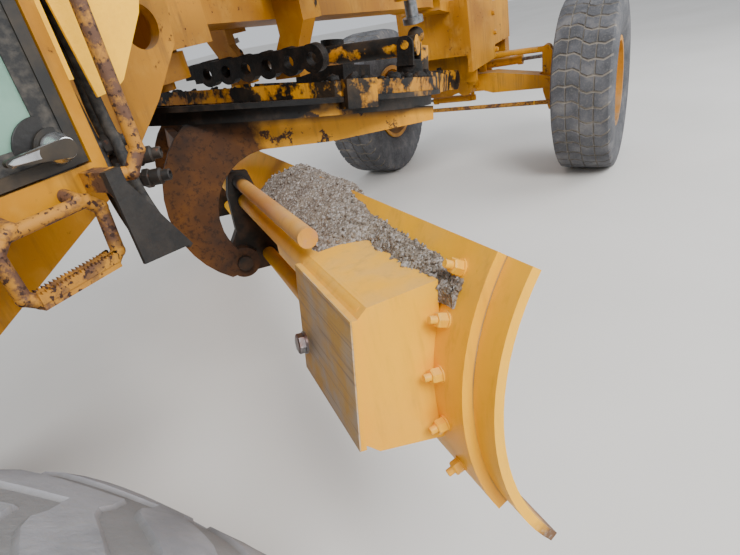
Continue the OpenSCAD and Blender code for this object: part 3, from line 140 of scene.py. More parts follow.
class Form:
    """Collects grids of points into one mesh."""

    def __init__(self):
        self.points, self.faces, self.marks, self.count = [], [], [], 0

    def grid(self, p, ring=False, mark=0.0):
        """A grid p[u, v] of points as quads, closed round u.

        ring closes it round v as well; else the first and last v get a face. A grid whose
        signed volume is negative is turned round.
        """
        p = np.asarray(p, float)
        nu, nv = p.shape[:2]
        i = np.arange(nu)[:, None]
        j = np.arange(nv if ring else nv - 1)[None, :]
        a, b = i * nv + j, ((i + 1) % nu) * nv + j
        c, d = ((i + 1) % nu) * nv + (j + 1) % nv, i * nv + (j + 1) % nv
        quads = np.stack(np.broadcast_arrays(a, b, c, d), -1).reshape(-1, 4)
        flat = p.reshape(-1, 3)
        rows = np.arange(nu) * nv
        ends = [] if ring else [rows[::-1], rows + nv - 1]
        mid = flat.mean(0)
        q = flat[quads] - mid
        volume = np.sum(q[:, 0] * np.cross(q[:, 1], q[:, 2]))
        volume += np.sum(q[:, 0] * np.cross(q[:, 2], q[:, 3]))
        for e in ends:
            w = flat[e] - mid
            volume += np.sum(w[0] * np.cross(w[1:-1], w[2:]))
        step = -1 if volume < 0 else 1
        self.points.append(flat)
        self.marks.append(np.broadcast_to(np.asarray(mark, float), p.shape[:2]).reshape(-1))
        self.faces += (quads[:, ::step] + self.count).tolist()
        self.faces += [(e[::step] + self.count).tolist() for e in ends]
        self.count += len(flat)
        return self

    def piece(self, name, body, finish, slot, crease=35):
        """Makes the object, smooth below an angle of crease degrees, and rides it on its body."""
        mesh = bpy.data.meshes.new(name)
        mesh.from_pydata(np.concatenate(self.points), [], self.faces)
        mesh.polygons.foreach_set("use_smooth", np.ones(len(mesh.polygons), bool))
        mesh.set_sharp_from_angle(angle=math.radians(crease))
        mark = mesh.attributes.new("mark", "FLOAT", "POINT")
        mark.data.foreach_set("value", np.concatenate(self.marks))
        mesh.materials.append(FINISHES[finish])
        mesh.update()
        obj = add(mesh)
        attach(obj, body)
        return obj


def circle(n, r=1.0, start=0.0):
    """n points round a circle: r times (cos, sin)."""
    a = np.radians(start) + np.arange(n) * 2 * np.pi / n
    return np.stack((r * np.cos(a), r * np.sin(a)), -1)


def lathe(form, profile, matrix, n=32):
    """Turns a profile of (radius, height) rows about the Z of a frame: (r cos a, r sin a, h)."""
    profile = np.asarray(profile, float)
    c = circle(n)
    p = np.empty((n, len(profile), 3))
    p[..., :2] = c[:, None, :] * profile[None, :, :1]
    p[..., 2] = profile[None, :, 1]
    return form.grid(to(matrix, p))


def hexagon(form, matrix, across, height, stud=0.0, washer=True):
    """A chamfered hexagon nut, on a washer and with the end of its stud where asked."""
    r = across / math.sqrt(3)
    if washer:
        lathe(form, [(r * 1.12, -0.001), (r * 1.12, across * 0.1), (r * 0.9, across * 0.12)],
              matrix, 18)
    lathe(form, [(r * 0.99, across * 0.1), (r, across * 0.16), (r, height * 0.86), (r * 0.86, height)],
          matrix, 6)
    if stud:
        lathe(form, [(across * 0.3, height * 0.8), (across * 0.3, height + stud * 0.85),
                     (across * 0.26, height + stud)], matrix, 14)


def outline(half_x, half_y, r, n=5):
    """Rounded rectangle as points: four quarter circles of radius r about the inner corners."""
    a = np.linspace(0, np.pi / 2, n)
    parts = []
    for k, corner in enumerate(((1, 1), (-1, 1), (-1, -1), (1, -1))):
        b = a + k * np.pi / 2
        parts.append(corner * np.array((half_x - r, half_y - r))
                     + r * np.stack((np.cos(b), np.sin(b)), -1))
    return np.concatenate(parts)


def slab(form, points, z0, z1, matrix, bevel):
    """A plate of any outline between two heights, its edges pulled in by bevel."""
    q = np.asarray(points, float)
    if np.sum(q[:, 0] * np.roll(q[:, 1], -1) - q[:, 1] * np.roll(q[:, 0], -1)) < 0:
        q = q[::-1]
    t = np.roll(q, -1, 0) - q
    t /= np.linalg.norm(t, axis=1)[:, None]
    n = np.stack((-t[:, 1], t[:, 0]), -1)
    inward = n + np.roll(n, 1, 0)
    inward /= np.maximum(np.linalg.norm(inward, axis=1)[:, None], 0.3)
    rows = [np.column_stack((q + inward * bevel * (k in (0, 3)), np.full(len(q), z)))
            for k, z in enumerate((z0, z0 + bevel, z1 - bevel, z1))]
    return form.grid(to(matrix, np.stack(rows, 1)))


def curve(points, steps=8):
    """Catmull-Rom curve through points, with its end points doubled."""
    p = np.asarray(points, float)
    q = np.vstack((2 * p[0] - p[1], p, 2 * p[-1] - p[-2]))
    t = np.linspace(0, 1, steps, endpoint=False)[:, None]
    parts = [0.5 * (2 * b + (c - a) * t + (2 * a - 5 * b + 4 * c - d) * t**2
                    + (3 * b - a - 3 * c + d) * t**3)
             for a, b, c, d in zip(q[:-3], q[1:-2], q[2:-1], q[3:])]
    return np.vstack(parts + [p[-1:]])


def sweep(form, path, r, n=12, shape=None):
    """Carries a circle, or a shape of (side, up) points, along a path.

    Each ring stands square to the path and is turned as little as can be from the one before.
    """
    path = np.asarray(path, float)
    t = np.gradient(path, axis=0)
    t /= np.linalg.norm(t, axis=1)[:, None]
    u = np.array((0.0, 0, 1)) if abs(t[0][2]) < 0.9 else np.array((1.0, 0, 0))
    sides = []
    for d in t:
        u = u - d * u.dot(d)
        u /= np.linalg.norm(u)
        sides.append((np.cross(u, d), u))
    sides = np.array(sides)
    c = circle(n) if shape is None else np.asarray(shape, float)
    ring = c[:, None, :1] * sides[None, :, 0] + c[:, None, 1:] * sides[None, :, 1]
    return form.grid(path[None] + r * ring)


def waves(x, y, seed, size, octaves=5):
    """Random heights from -1 to 1: sines in seeded directions, each octave finer and lower."""
    rng = np.random.default_rng(seed)
    out, weight, total = 0.0, 1.0, 0.0
    for k in range(octaves):
        for _ in range(3):
            a, ph = rng.uniform(0, 2 * np.pi, 2)
            run = (x * math.cos(a) + y * math.sin(a)) * 2 * np.pi / size * 2**k
            out = out + weight * np.sin(run + ph)
            total += weight
        weight *= 0.55
    return out / total * 1.8


# Finishes


def rgb(code):
    """Linear colour with alpha from a code of six hexadecimal digits."""
    c = np.array([int(code[i:i + 2], 16) for i in (0, 2, 4)]) / 255
    c = np.where(c <= 0.04045, c / 12.92, ((c + 0.055) / 1.055) ** 2.4)
    return (*(float(v) for v in c), 1.0)


class Value:
    """A shader socket on which Python's operators add Math nodes."""

    def __init__(self, finish, socket):
        self.finish, self.socket = finish, socket

    def math(self, kind, a, b=0.0):
        return self.finish.node("Math", {"operation": kind}, {0: a, 1: b})

    def __add__(self, other):
        return self.math("ADD", self, other)

    def __radd__(self, other):
        return self.math("ADD", other, self)

    def __sub__(self, other):
        return self.math("SUBTRACT", self, other)

    def __rsub__(self, other):
        return self.math("SUBTRACT", other, self)

    def __mul__(self, other):
        return self.math("MULTIPLY", self, other)

    def __rmul__(self, other):
        return self.math("MULTIPLY", other, self)

    def __abs__(self):
        return self.math("ABSOLUTE", self)

    def ramp(self, start, end):
        """0 before start, 1 after end, straight between; start may be the larger."""
        return self.finish.node("MapRange", {"clamp": True},
                                {0: self, 1: start, 2: end, 3: 0.0, 4: 1.0})

    def within(self, low, high, soft):
        """1 between two bounds, with soft as the width of the fade inside each."""
        return self.ramp(low, low + soft) * self.ramp(high, high - soft)

    def more(self, other):
        """The larger of two values."""
        return self.math("MAXIMUM", self, other)


class Finish:
    """A node material with a Principled shader."""

    def __init__(self, name):
        self.material = bpy.data.materials.new(name)
        self.material.use_nodes = True
        self.tree = self.material.node_tree
        self.shader = self.tree.nodes["Principled BSDF"]
        spot = self.tree.nodes.new("ShaderNodeTexCoord")
        self.spot = Value(self, spot.outputs["Object"])
        self.normal = Value(self, spot.outputs["Normal"])
        FINISHES[name] = self.material

    def node(self, kind, settings, inputs, out=0):
        """Adds a node with its settings and inputs, and returns one of its outputs."""
        n = self.tree.nodes.new("ShaderNode" + kind)
        for key, value in settings.items():
            setattr(n, key, value)
        self.fill(n, inputs)
        return Value(self, n.outputs[out])

    def fill(self, node, inputs):
        """Links a node's inputs to values, or sets them to numbers or colours."""
        for key, value in inputs.items():
            if isinstance(value, Value):
                self.tree.links.new(value.socket, node.inputs[key])
            else:
                node.inputs[key].default_value = value

    def noise(self, scale, detail=3.0, rough=0.5, at=None):
        inputs = {"Vector": at or self.spot, "Scale": scale, "Detail": detail, "Roughness": rough}
        return self.node("TexNoise", {}, inputs)

    def cells(self, scale, kind="F1", out=0):
        return self.node("TexVoronoi", {"feature": kind},
                         {"Vector": self.spot, "Scale": scale}, out)

    def scaled(self, x, y, z, at=None):
        return self.node("VectorMath", {"operation": "MULTIPLY"},
                         {0: at or self.spot, 1: (x, y, z)})

    def local(self, matrix):
        """Object coordinates seen from a frame of the machine."""
        m = Matrix(matrix.tolist())
        return self.node("Mapping", {"vector_type": "TEXTURE"},
                         {"Vector": self.spot, "Location": m.to_translation(),
                          "Rotation": m.to_euler("XYZ")})

    def axis(self, k, at=None):
        return self.node("SeparateXYZ", {}, {0: at or self.spot}, k)

    def mix(self, factor, a, b):
        """Goes from one colour to another; each is a value, a colour or a code."""
        a, b = (rgb(c) if isinstance(c, str) else c for c in (a, b))
        return self.node("Mix", {"data_type": "RGBA"}, {0: factor, 6: a, 7: b}, 2)

    def mark(self):
        return self.node("Attribute", {"attribute_name": "mark"}, {}, 2)

    def done(self, colour, rough, height, depth=0.002, strength=0.6, **fixed):
        """Joins colour, roughness, a height for the bump and other inputs to the shader."""
        bump = self.node("Bump", {}, {"Strength": strength, "Distance": depth, "Height": height})
        self.fill(self.shader, {"Base Color": colour, "Roughness": rough, "Normal": bump})
        self.fill(self.shader, {key.replace("_", " "): value for key, value in fixed.items()})


FINISHES = {}
STAIN, RUST, DEEP_RUST = "6e4a20", "6b3a1b", "341c10"
DUST, MUD, GREASE = "a5967f", "6f6152", "080706"


def yellow(name, light, deep, rust=0.35, dirt=0.4, streak=0.5, grease=None, gloss=0.42, extra=None):
    """Yellow paint in two tones, with streaks, grouped rust specks, dust on top and mud low down.

    rust, dirt, streak and grease say how much there is of each, and extra adds a piece's own wear.
    """
    f = Finish(name)
    wide, mid, fine = f.noise(1.6, 2), f.noise(9, 4, 0.6), f.noise(120, 2)
    c = f.mix(wide.ramp(0.35, 0.65), light, deep)
    c = f.mix(mid.ramp(0.5, 0.8) * 0.3, c, "dcab50")
    run = f.noise(1.0, 4, 0.6, f.scaled(34, 34, 2.6)).ramp(0.52, 0.74) * mid.ramp(0.35, 0.6)
    c = f.mix(run * streak, c, STAIN)
    group = f.noise(3.2, 3).ramp(0.5, 0.68)
    raw = f.noise(46, 7, 0.66) + group * (0.13 * rust)
    bound = 0.75 - 0.06 * rust
    spots = raw.ramp(bound, bound + 0.02)
    halo = raw.ramp(bound - 0.08, bound + 0.02)
    c = f.mix(halo * (0.55 * rust + 0.1), c, STAIN)
    c = f.mix(spots, c, f.mix(fine.ramp(0.35, 0.65), DEEP_RUST, RUST))
    up = f.axis(2, f.normal).ramp(0.35, 0.95)
    dust = (up * mid.ramp(0.3, 0.62)) * dirt
    low = f.axis(2).ramp(0.95, 0.25) * f.noise(6, 5, 0.6).ramp(0.42, 0.7) * dirt
    c = f.mix(dust, c, DUST)
    c = f.mix(low, c, MUD)
    rough = gloss + mid * 0.14 + spots * 0.35 + dust * 0.3 + low * 0.3
    height = fine * 0.12 + mid * 0.2 - spots * 0.35
    if extra:
        c, rough, height = extra(f, c, rough, height, mid, fine)
    if grease is not None:
        clot = f.noise(7, 5, 0.62) + f.noise(30, 3) * 0.25 + up * (0.2 * grease)
        clot = clot.ramp(0.82 - 0.3 * grease, 0.87 - 0.27 * grease)
        c = f.mix(clot, c, f.mix(mid.ramp(0.45, 0.75) * 0.6, GREASE, "4a3a28"))
        rough = rough + clot * 0.12
        height = height + clot * f.noise(26, 4, 0.6) * 1.4
    f.done(c, rough, height, 0.004, Specular_IOR_Level=0.3)


def make_finishes(look):
    old, aged, fresh = tuple(look.old_yellow), tuple(look.deep_yellow), tuple(look.fresh_yellow)
    yellow("old_yellow", old, aged, rust=0.7, streak=0.8)
    yellow("frame_yellow", old, aged, rust=0.7, dirt=0.7, streak=0.8, grease=0.1)
    yellow("fresh_yellow", fresh, "eda60c", rust=0.12, dirt=0.3, streak=0.3, gloss=0.36,
           extra=blade_wear)
    yellow("greased_yellow", old, aged, rust=0.7, dirt=0.3, streak=0.7, grease=0.85)
    yellow("rim_yellow", "c4851a", aged, rust=0.5, dirt=0.7)
    yellow("arm_rust", "d69612", "b87a14", rust=0.8, dirt=0.25, extra=arm_wear)
    yellow("saddle_yellow", old, aged, rust=0.8, streak=0.6, grease=0.25)
    yellow("edge_yellow", fresh, "f5b018", rust=0.15, dirt=0.25, streak=0.3, gloss=0.4,
           extra=edge_wear)
    yellow("rail_yellow", "d79f3e", "b97c35", rust=0.5, dirt=0.3, streak=0.4, extra=rail_wear)

    f = Finish("grease")
    lump, fine = f.noise(22, 5, 0.6), f.noise(140, 3)
    c = f.mix(lump.ramp(0.45, 0.75), GREASE, "2a2019")
    c = f.mix(f.noise(5, 3).ramp(0.58, 0.72) * 0.5, c, "5d4322")
    f.done(c, 0.5 + fine * 0.25, lump + fine * 0.4, 0.006, 0.8, Specular_IOR_Level=0.25)

    f = Finish("bare_steel")
    fine = f.noise(60, 4)
    c = f.mix(fine.ramp(0.4, 0.7), "8f9296", "6b6d70")
    c = f.mix(f.noise(8, 5, 0.6).ramp(0.56, 0.68), c, RUST)
    f.done(c, 0.22 + fine * 0.25, fine, 0.0008, 0.4, Metallic=0.85)

    f = Finish("worn_edge")
    mid, fine = f.noise(14, 6, 0.65), f.noise(110, 4)
    c = f.mix(mid.ramp(0.4, 0.62), "5b4636", "7b4a28")
    c = f.mix(f.noise(3, 3).ramp(0.4, 0.6) * 0.7, c, "c4963c")
    c = f.mix(fine.ramp(0.55, 0.7) * 0.6, c, DEEP_RUST)
    f.done(c, 0.55 + fine * 0.3, mid + fine * 0.5, 0.003, 0.7, Metallic=0.25)

    f = Finish("dark_steel")
    mid, fine = f.noise(12, 5, 0.6), f.noise(90, 3)
    c = f.mix(mid.ramp(0.4, 0.7), "1d1b19", "3a322a")
    c = f.mix(fine.ramp(0.6, 0.7) * mid, c, RUST)
    f.done(c, 0.5 + fine * 0.25, mid + fine * 0.5, 0.003)

    f = Finish("rust_pipe")
    mid, fine = f.noise(16, 6, 0.65), f.noise(90, 4)
    c = f.mix(mid.ramp(0.48, 0.56), "a87220", "5b3d2a")
    c = f.mix(f.noise(5, 4).ramp(0.55, 0.66) * 0.7, c, "b98225")
    c = f.mix(fine.ramp(0.56, 0.62), c, DEEP_RUST)
    # the cover plate beside the cab is bright, and the sheet that guards the step is dark
    y = f.axis(1)
    plate = y.within(-0.594, -0.5835, 0.0015) * f.axis(0).ramp(-0.745, -0.742)
    c = f.mix(plate, c, f.mix(mid.ramp(0.5, 0.8) * 0.4, fresh, "d39a2c"))
    c = f.mix(y.ramp(-0.722, -0.728), c, f.mix(mid.ramp(0.4, 0.7), "191919", "2e2925"))
    f.done(c, 0.55 + fine * 0.3, mid + fine, 0.002)

    # Each rubber mixes its grooves, and some random patches, towards a groove colour. On the front
    # tyres it is pale dust; on the rear tyres it is a darker grey that is painted shade in the
    # grooves.
    for name, dark, light, groove_dust_and_shade in (("rubber", "3c3d41", "5c5d62", "8f877b"),
                                     ("worn_rubber", "77777c", "98979c", "6c6a69")):
        f = Finish(name)
        groove, mid, fine = f.mark(), f.noise(7, 5, 0.6), f.noise(75, 5, 0.65)
        c = f.mix(mid.ramp(0.35, 0.7), dark, light)
        c = f.mix(fine.ramp(0.5, 0.8) * 0.5, c, "87857f")
        c = f.mix((groove * 0.7 + mid.ramp(0.55, 0.75) * 0.3).ramp(0.0, 1.0), c, groove_dust_and_shade)
        f.done(c, 0.72 + fine * 0.2, fine + mid * 0.5, 0.0025, 0.7)

    f = Finish("hose")
    band = f.noise(60, 3)
    c = f.mix(band.ramp(0.4, 0.75), "191919", "4b463f")
    f.done(c, 0.55 + band * 0.25, f.noise(300, 2), 0.001, 0.5)

    f = Finish("soil")
    stones, mid, fine = f.cells(170), f.noise(16, 6, 0.7), f.noise(150, 4, 0.7)
    tone = f.cells(170, out=1)
    c = f.mix(mid.ramp(0.35, 0.7), "6a5f55", "94897c")
    c = f.mix(f.axis(0, tone).ramp(0.62, 0.7) * 0.8, c, "a8a29d")
    c = f.mix(fine.ramp(0.52, 0.7) * 0.7, c, "453b33")
    f.done(c, 0.9 + fine * 0.08, (1 - stones * 1.4) + fine * 0.8, 0.005, 0.8)

    f = Finish("cab_glass")
    film, smear = f.noise(3, 5, 0.6), f.noise(1.0, 3, 0.5, f.scaled(8, 8, 26))
    c = f.mix(film.ramp(0.4, 0.65), "b9d6c6", "8fb3a3")
    f.done(c, film.ramp(0.35, 0.8) * 0.3 + smear * 0.1, film, 0.0005, 0.3, Alpha=0.38, IOR=1.45)

    f = Finish("door")
    film, mid = f.noise(3, 5, 0.6), f.noise(14, 4, 0.6)
    pane = abs(f.axis(1)).ramp(0.641, 0.640)
    pane = pane * f.axis(0).within(*PANE[:2], 0.0005) * f.axis(2).within(*PANE[2:], 0.0005)
    c = f.mix(mid.ramp(0.4, 0.7), "171614", "3a2f20")
    c = f.mix(pane, c, f.mix(film.ramp(0.4, 0.65), "8fb8a5", "5d8574"))
    rough = 0.45 - pane * 0.3 + film * 0.2
    f.done(c, rough, mid, 0.0008, 0.2, Alpha=1 - pane * 0.4)

    f = Finish("vinyl")
    grain, mid = f.cells(260, "DISTANCE_TO_EDGE"), f.noise(8, 4)
    c = f.mix(mid.ramp(0.4, 0.7), "1b1b1d", "34322f")
    f.done(c, 0.45 + mid * 0.2, grain.ramp(0.0, 0.12), 0.0008, 0.5)

    f = Finish("black_paint")
    mid, fine = f.noise(7, 4, 0.6), f.noise(80, 3)
    c = f.mix(mid.ramp(0.4, 0.7), "191817", "37322c")
    c = f.mix(f.noise(24, 6, 0.66).ramp(0.62, 0.66), c, RUST)
    f.done(c, 0.4 + mid * 0.25, fine + mid, 0.002, 0.4)

    f = Finish("chrome")
    mid = f.noise(20, 4)
    c = f.mix(mid.ramp(0.4, 0.75), "dfe3e6", "a9aaab")
    f.done(c, 0.14 + mid * 0.2, mid, 0.0006, 0.3, Metallic=0.95)

    for name, light, dark, scale, gloss, coat in (("lamp_glass", "e8ecec", "b9bfc0", 120, 0.12, 0.6),
                                                  ("signal_red", "a3201a", "6e120f", 140, 0.15, 0.0)):
        f = Finish(name)
        lens = f.cells(scale)
        c = f.mix(lens.ramp(0.2, 0.7), light, dark)
        f.done(c, gloss + lens * 0.2, lens, 0.001, 0.5, Coat_Weight=coat)


def blade_wear(f, c, rough, height, mid, fine):
    """The blade's hollow face is scoured, its rims are bright and its boxes' rear plates brushed."""
    at = f.local(BLADE)
    spoke = f.node("VectorMath", {"operation": "SUBTRACT"},
                   {0: f.scaled(1, 0, 1, at), 1: (ARC_MID[0], 0.0, ARC_MID[1])})
    radius = f.node("VectorMath", {"operation": "LENGTH"}, {0: spoke}, 1)
    front = radius.ramp(ARC_FRONT + 0.004, ARC_FRONT + 0.001) * f.noise(5, 4).ramp(0.3, 0.5)
    c = f.mix(front, c, f.mix(mid.ramp(0.4, 0.7), "6d6257", "8d7d6c"))
    rim = radius.ramp(ARC_BACK - 0.02, ARC_BACK - 0.006)
    c = f.mix(0.2 * (1 - rim), c, "c08a1c")
    rear = f.axis(0, at).ramp(-0.3075, -0.3085)
    brushed = f.noise(1.0, 4, 0.6, f.scaled(14, 3, 110, at))
    plate = f.mix(mid.ramp(0.4, 0.58), "b39f88", "c79a4c")
    plate = f.mix(brushed.ramp(0.5, 0.66) * 0.7, plate, "85705f")
    return f.mix(rear, c, plate), rough + front * 0.1 + rear * 0.15, height + rear * brushed


def edge_wear(f, c, rough, height, mid, fine):
    """The end bits are painted down to their tips, and the edge between them is bare and rusty."""
    at = f.local(BLADE)
    y = abs(f.axis(1, at))
    ragged = f.noise(9, 5, 0.65) * 0.09
    tip = (f.axis(2, at) + ragged).ramp(-0.655, -0.70)
    bare = (1 - y.ramp(1.575, 1.583)).more(tip)
    brown = f.mix(mid.ramp(0.4, 0.62), "6a4c33", "8d5a30")
    brown = f.mix(fine.ramp(0.5, 0.7) * 0.6, brown, "9b9185")
    return f.mix(bare, c, brown), rough + bare * 0.15, height + bare * mid


def rail_wear(f, c, rough, height, mid, fine):
    """The slide rails' paint is worn outside the arms, and what is between is dark with grease."""
    at = f.local(BLADE)
    y = abs(f.axis(1, at))
    dark = (y + f.noise(8, 5, 0.6) * 0.1).ramp(0.74, 0.68)
    brown = f.mix(mid.ramp(0.42, 0.65), "1c1814", "4b3524")
    scuff = f.noise(1.0, 4, 0.6, f.scaled(30, 3, 30, at)).ramp(0.52, 0.68)
    c = f.mix(scuff * 0.6, c, "b5836a")
    return f.mix(dark, c, brown), rough + dark * 0.12, height + dark * mid


def arm_wear(f, c, rough, height, mid, fine):
    """Yellow is left on the web of the C arms, their bend is brown, and the circle's top is greasy."""
    at = f.local(CIRCLE)
    x, z = f.axis(0, at), f.axis(2, at)
    edge = f.noise(5, 6, 0.66) * 0.5 + f.noise(24, 4, 0.6) * 0.14
    bend = (edge + (x + z * 0.7) * -1.5).ramp(0.62, 0.74)
    web = f.noise(13, 6, 0.7).ramp(0.57, 0.6)
    brown = f.mix(f.noise(3.1, 4, 0.55).ramp(0.42, 0.66), "2d2019", "6f4314")
    brown = f.mix(mid.ramp(0.46, 0.6) * 0.6, brown, "4a2c14")
    brown = f.mix(f.noise(60, 4, 0.7).ramp(0.52, 0.62) * 0.6, brown, "17120f")
    c = f.mix(bend.more(web), c, brown)
    black = z.ramp(-0.03, 0.0) * f.noise(4, 4).ramp(0.3, 0.42)
    c = f.mix(black, c, f.mix(mid.ramp(0.5, 0.75), GREASE, "3a2f26"))
    return c, rough + bend * 0.2, height + bend * mid * 0.8 + black * mid


# Patterns of node names by finish
FINISH_OF = {
    "old_yellow": "engine_hood cab_shell cab_roof",
    "door": "door_*",
    "frame_yellow": "rear_frame tandem_drive front_frame front_axle knuckle_* spindle_* lean_bar "
                    "lean_barrel steering_barrel",
    "saddle_yellow": "saddle_arms turn_barrel_* lift_barrel_*",
    "greased_yellow": "drawbar shift_barrel",
    "grease": "link_bar shift_head drawbar_swivel circle_drive circle_pinion tie_rod_end",
    "rim_yellow": "rim_*",
    "arm_rust": "blade_circle",
    "edge_yellow": "cutting_edge",
    "rail_yellow": "tilt_brackets",
    "rust_pipe": "steps_and_rails tie_rod",
    "bare_steel": "lift_rod_* shift_rod steering_rod lean_rod turn_rod_*",
    "fresh_yellow": "moldboard",
    "black_paint": "engine_block exhaust_stack rear_grille console seat",
    "cab_glass": "cab_glass",
    "worn_rubber": "tyre_rear_*",
    "rubber": "tyre_front_*",
}


# Settings


def colour_setting(name, description, code):
    return FloatVectorProperty(name=name, description=description, subtype="COLOR",
                               size=4, min=0, max=1, default=rgb(code))


def angle_setting(name, description, degrees):
    return FloatProperty(name=name, description=description, default=math.radians(degrees),
                         subtype="ANGLE", unit="ROTATION")


class GraderPaint(bpy.types.PropertyGroup):
    """Colours of the paint."""

    old_yellow: colour_setting("Old yellow", "Main colour of the aged paint", "cb8b08")
    deep_yellow: colour_setting("Deep yellow", "Darker tone of the aged paint", "955f08")
    fresh_yellow: colour_setting("Fresh yellow", "Repainted blade", "fdbd10")


class GraderTyres(bpy.types.PropertyGroup):
    """Sizes of the treads."""

    front_rows: IntProperty(
        name="Front rows", description="Rows of blocks round a front tyre", default=38, min=20, max=60)
    front_depth: FloatProperty(
        name="Front depth", description="Depth of the worn front tread", default=0.012,
        min=0.002, max=0.03, unit="LENGTH")
    rear_bars: IntProperty(
        name="Rear bars", description="Bars round each side of a rear tyre", default=26,
        min=12, max=40)
    rear_depth: FloatProperty(
        name="Rear depth", description="Depth of the worn rear bars", default=0.007,
        min=0.002, max=0.04, unit="LENGTH")


class GraderStage(bpy.types.PropertyGroup):
    """Place, direction and lens of the camera."""

    place: FloatVectorProperty(
        name="Camera place", description="Where the camera stands", default=(-1.364, -1.671, 1.635),
        subtype="TRANSLATION", unit="LENGTH")
    yaw: angle_setting("Yaw", "Turn to the left of straight ahead", 34.53)
    pitch: angle_setting("Pitch", "Tilt down from level", 28.39)
    roll: angle_setting("Roll", "Turn about the line of sight", 12.10)
    lens: FloatProperty(
        name="Lens", description="Focal length on a 36 mm wide sensor", default=24.78, min=10, max=200)


# Operators


class GRADER_OT_stage(bpy.types.Operator):
    """Adds the pale floor, the soft light and the camera"""

    bl_idname = "grader.stage"
    bl_label = "Stage"

    def execute(self, context):
        look = context.scene.grader_stage
        f = Finish("floor")
        c = f.mix(f.noise(0.7, 3).ramp(0.3, 0.7), "d6d4cf", "dedcd8")
        f.done(c, 0.85, f.noise(60, 3), 0.001, 0.2)
        mesh = bpy.data.meshes.new("floor")
        half = 30
        corners = [(-half, -half, 0), (half, -half, 0), (half, half, 0), (-half, half, 0)]
        mesh.from_pydata(corners, [], [[0, 1, 2, 3]])
        mesh.materials.append(f.material)
        add(mesh)

        world = bpy.data.worlds.new("studio")
        world.use_nodes = True
        sky = world.node_tree.nodes["Background"]
        sky.inputs["Color"].default_value = (0.92, 0.95, 1.0, 1)
        sky.inputs["Strength"].default_value = 0.75
        context.scene.world = world
        for name, spot, aim, size, power in (
                ("key_light", (-3.5, -6.5, 7.5), (0.3, -0.6, 0.8), 4.0, 1100),
                ("fill_light", (5.5, -7.0, 4.5), (1.0, 0.0, 1.0), 5.0, 450),
                ("back_light", (-7.0, 5.0, 7.0), (0, 0, 1.2), 5.0, 500)):
            lamp = bpy.data.lights.new(name, "AREA")
            lamp.size, lamp.energy = size, power
            add(lamp, frame_at(spot, np.subtract(spot, aim)))

        yaw, pitch, roll = np.degrees((look.yaw, look.pitch, look.roll))
        m = move(*look.place) @ turn("z", yaw - 90) @ turn("x", 90 - pitch) @ turn("z", -roll)
        camera = bpy.data.cameras.new("camera")
        camera.sensor_width, camera.sensor_fit = 36, "HORIZONTAL"
        camera.lens, camera.clip_start, camera.clip_end = look.lens, 0.02, 100
        context.scene.camera = add(camera, m)
        return {"FINISHED"}


class GRADER_OT_finishes(bpy.types.Operator):
    """Makes the finishes and gives each node of the frame its own"""

    bl_idname = "grader.finishes"
    bl_label = "Finishes"

    def execute(self, context):
        make_finishes(context.scene.grader_paint)
        left = set(frame["nodes"])
        for finish, patterns in FINISH_OF.items():
            for pattern in patterns.split():
                for name in fnmatch.filter(frame["nodes"], pattern):
                    for place in frame["nodes"][name].material_slots:
                        place.material = FINISHES[finish]
                    left.discard(name)
        if left:
            raise RuntimeError("nodes without a finish: " + ", ".join(sorted(left)))
        return {"FINISHED"}


def tyre_profile(tread):
    """Half a tyre's section from its outer bead to its middle, as rows of (radius, half width, share).

    The share is 0 on the sidewall, 1 on the tread and 2 in a groove, and tread has rows of
    (half width, is groove) on the crown.
    """
    side = [(0.318, 0.150, 0), (0.345, 0.176, 0), (0.372, 0.1905, 0), (0.405, 0.207, 0),
            (0.438, 0.2165, 0), (0.4785, 0.2215, 0), (0.514, 0.2225, 0), (0.55, 0.2215, 0),
            (0.584, 0.2185, 0), (0.612, 0.2140, 0), (0.630, 0.2095, 0.35), (0.646, 0.2050, 0.9)]
    crown = [(TYRE_R - 0.005 * (w / 0.18) ** 4 - (0.004 if w > 0.19 else 0), w, 1.0 + g)
             for w, g in tread]
    return np.array(side + crown)


def around(profile, angles):
    """Points of a section of (radius, width) rows at angles round an axle."""
    r, w = np.moveaxis(np.asarray(profile), -1, 0)
    return np.stack((r * np.cos(angles), r * np.sin(angles), np.broadcast_to(w, angles.shape)), -1)


def tyre(axle, side, kind, finish, rows, cuts, shift, depth, tread):
    """A tyre as a grid round its axle and across its section.

    cuts has rows of (share of a row, is groove), shift moves the points round by their place
    across, and the radius falls by depth in a groove.
    """
    outer = tyre_profile(tread)
    r, w, share = np.vstack((outer, (outer * (1, -1, 1))[::-1])).T
    fraction, across = np.array(cuts).T
    u = (np.arange(rows)[:, None] + fraction[None, :]).reshape(-1) / rows * 2 * np.pi
    on_tread = np.minimum(share, 1.0)
    fall = np.maximum(np.tile(across, rows)[:, None] * on_tread, np.clip(share - 1.0, 0, 1))
    radius = np.minimum(r - depth * fall * on_tread**0.5, TYRE_R - 0.0005)
    a = u[:, None] + shift(w) * 2 * np.pi / rows
    p = around(np.stack(np.broadcast_arrays(radius, w), -1), a)
    half = [(0.318, -0.150), (0.33, -0.140), (0.345, -0.150), (0.45, -0.175), (0.56, -0.16),
            (0.605, -0.10), (0.612, 0.0)]
    inner = np.array(half + [(r, -w) for r, w in half[-2:0:-1]])
    q = around(inner, u[:, None] + np.zeros(len(inner)))
    marks = np.concatenate((fall * on_tread, np.zeros(q.shape[:2])), 1)
    form = Form().grid(to(wheel_frame(axle, side), np.concatenate((p, q), 1)), ring=True, mark=marks)
    obj = form.piece(f"tyre_{kind}_{axle}_{side}", f"wheel_{axle}_{side}", finish, "tyre", 28)
    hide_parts(f"tyre_{axle}_{side}")


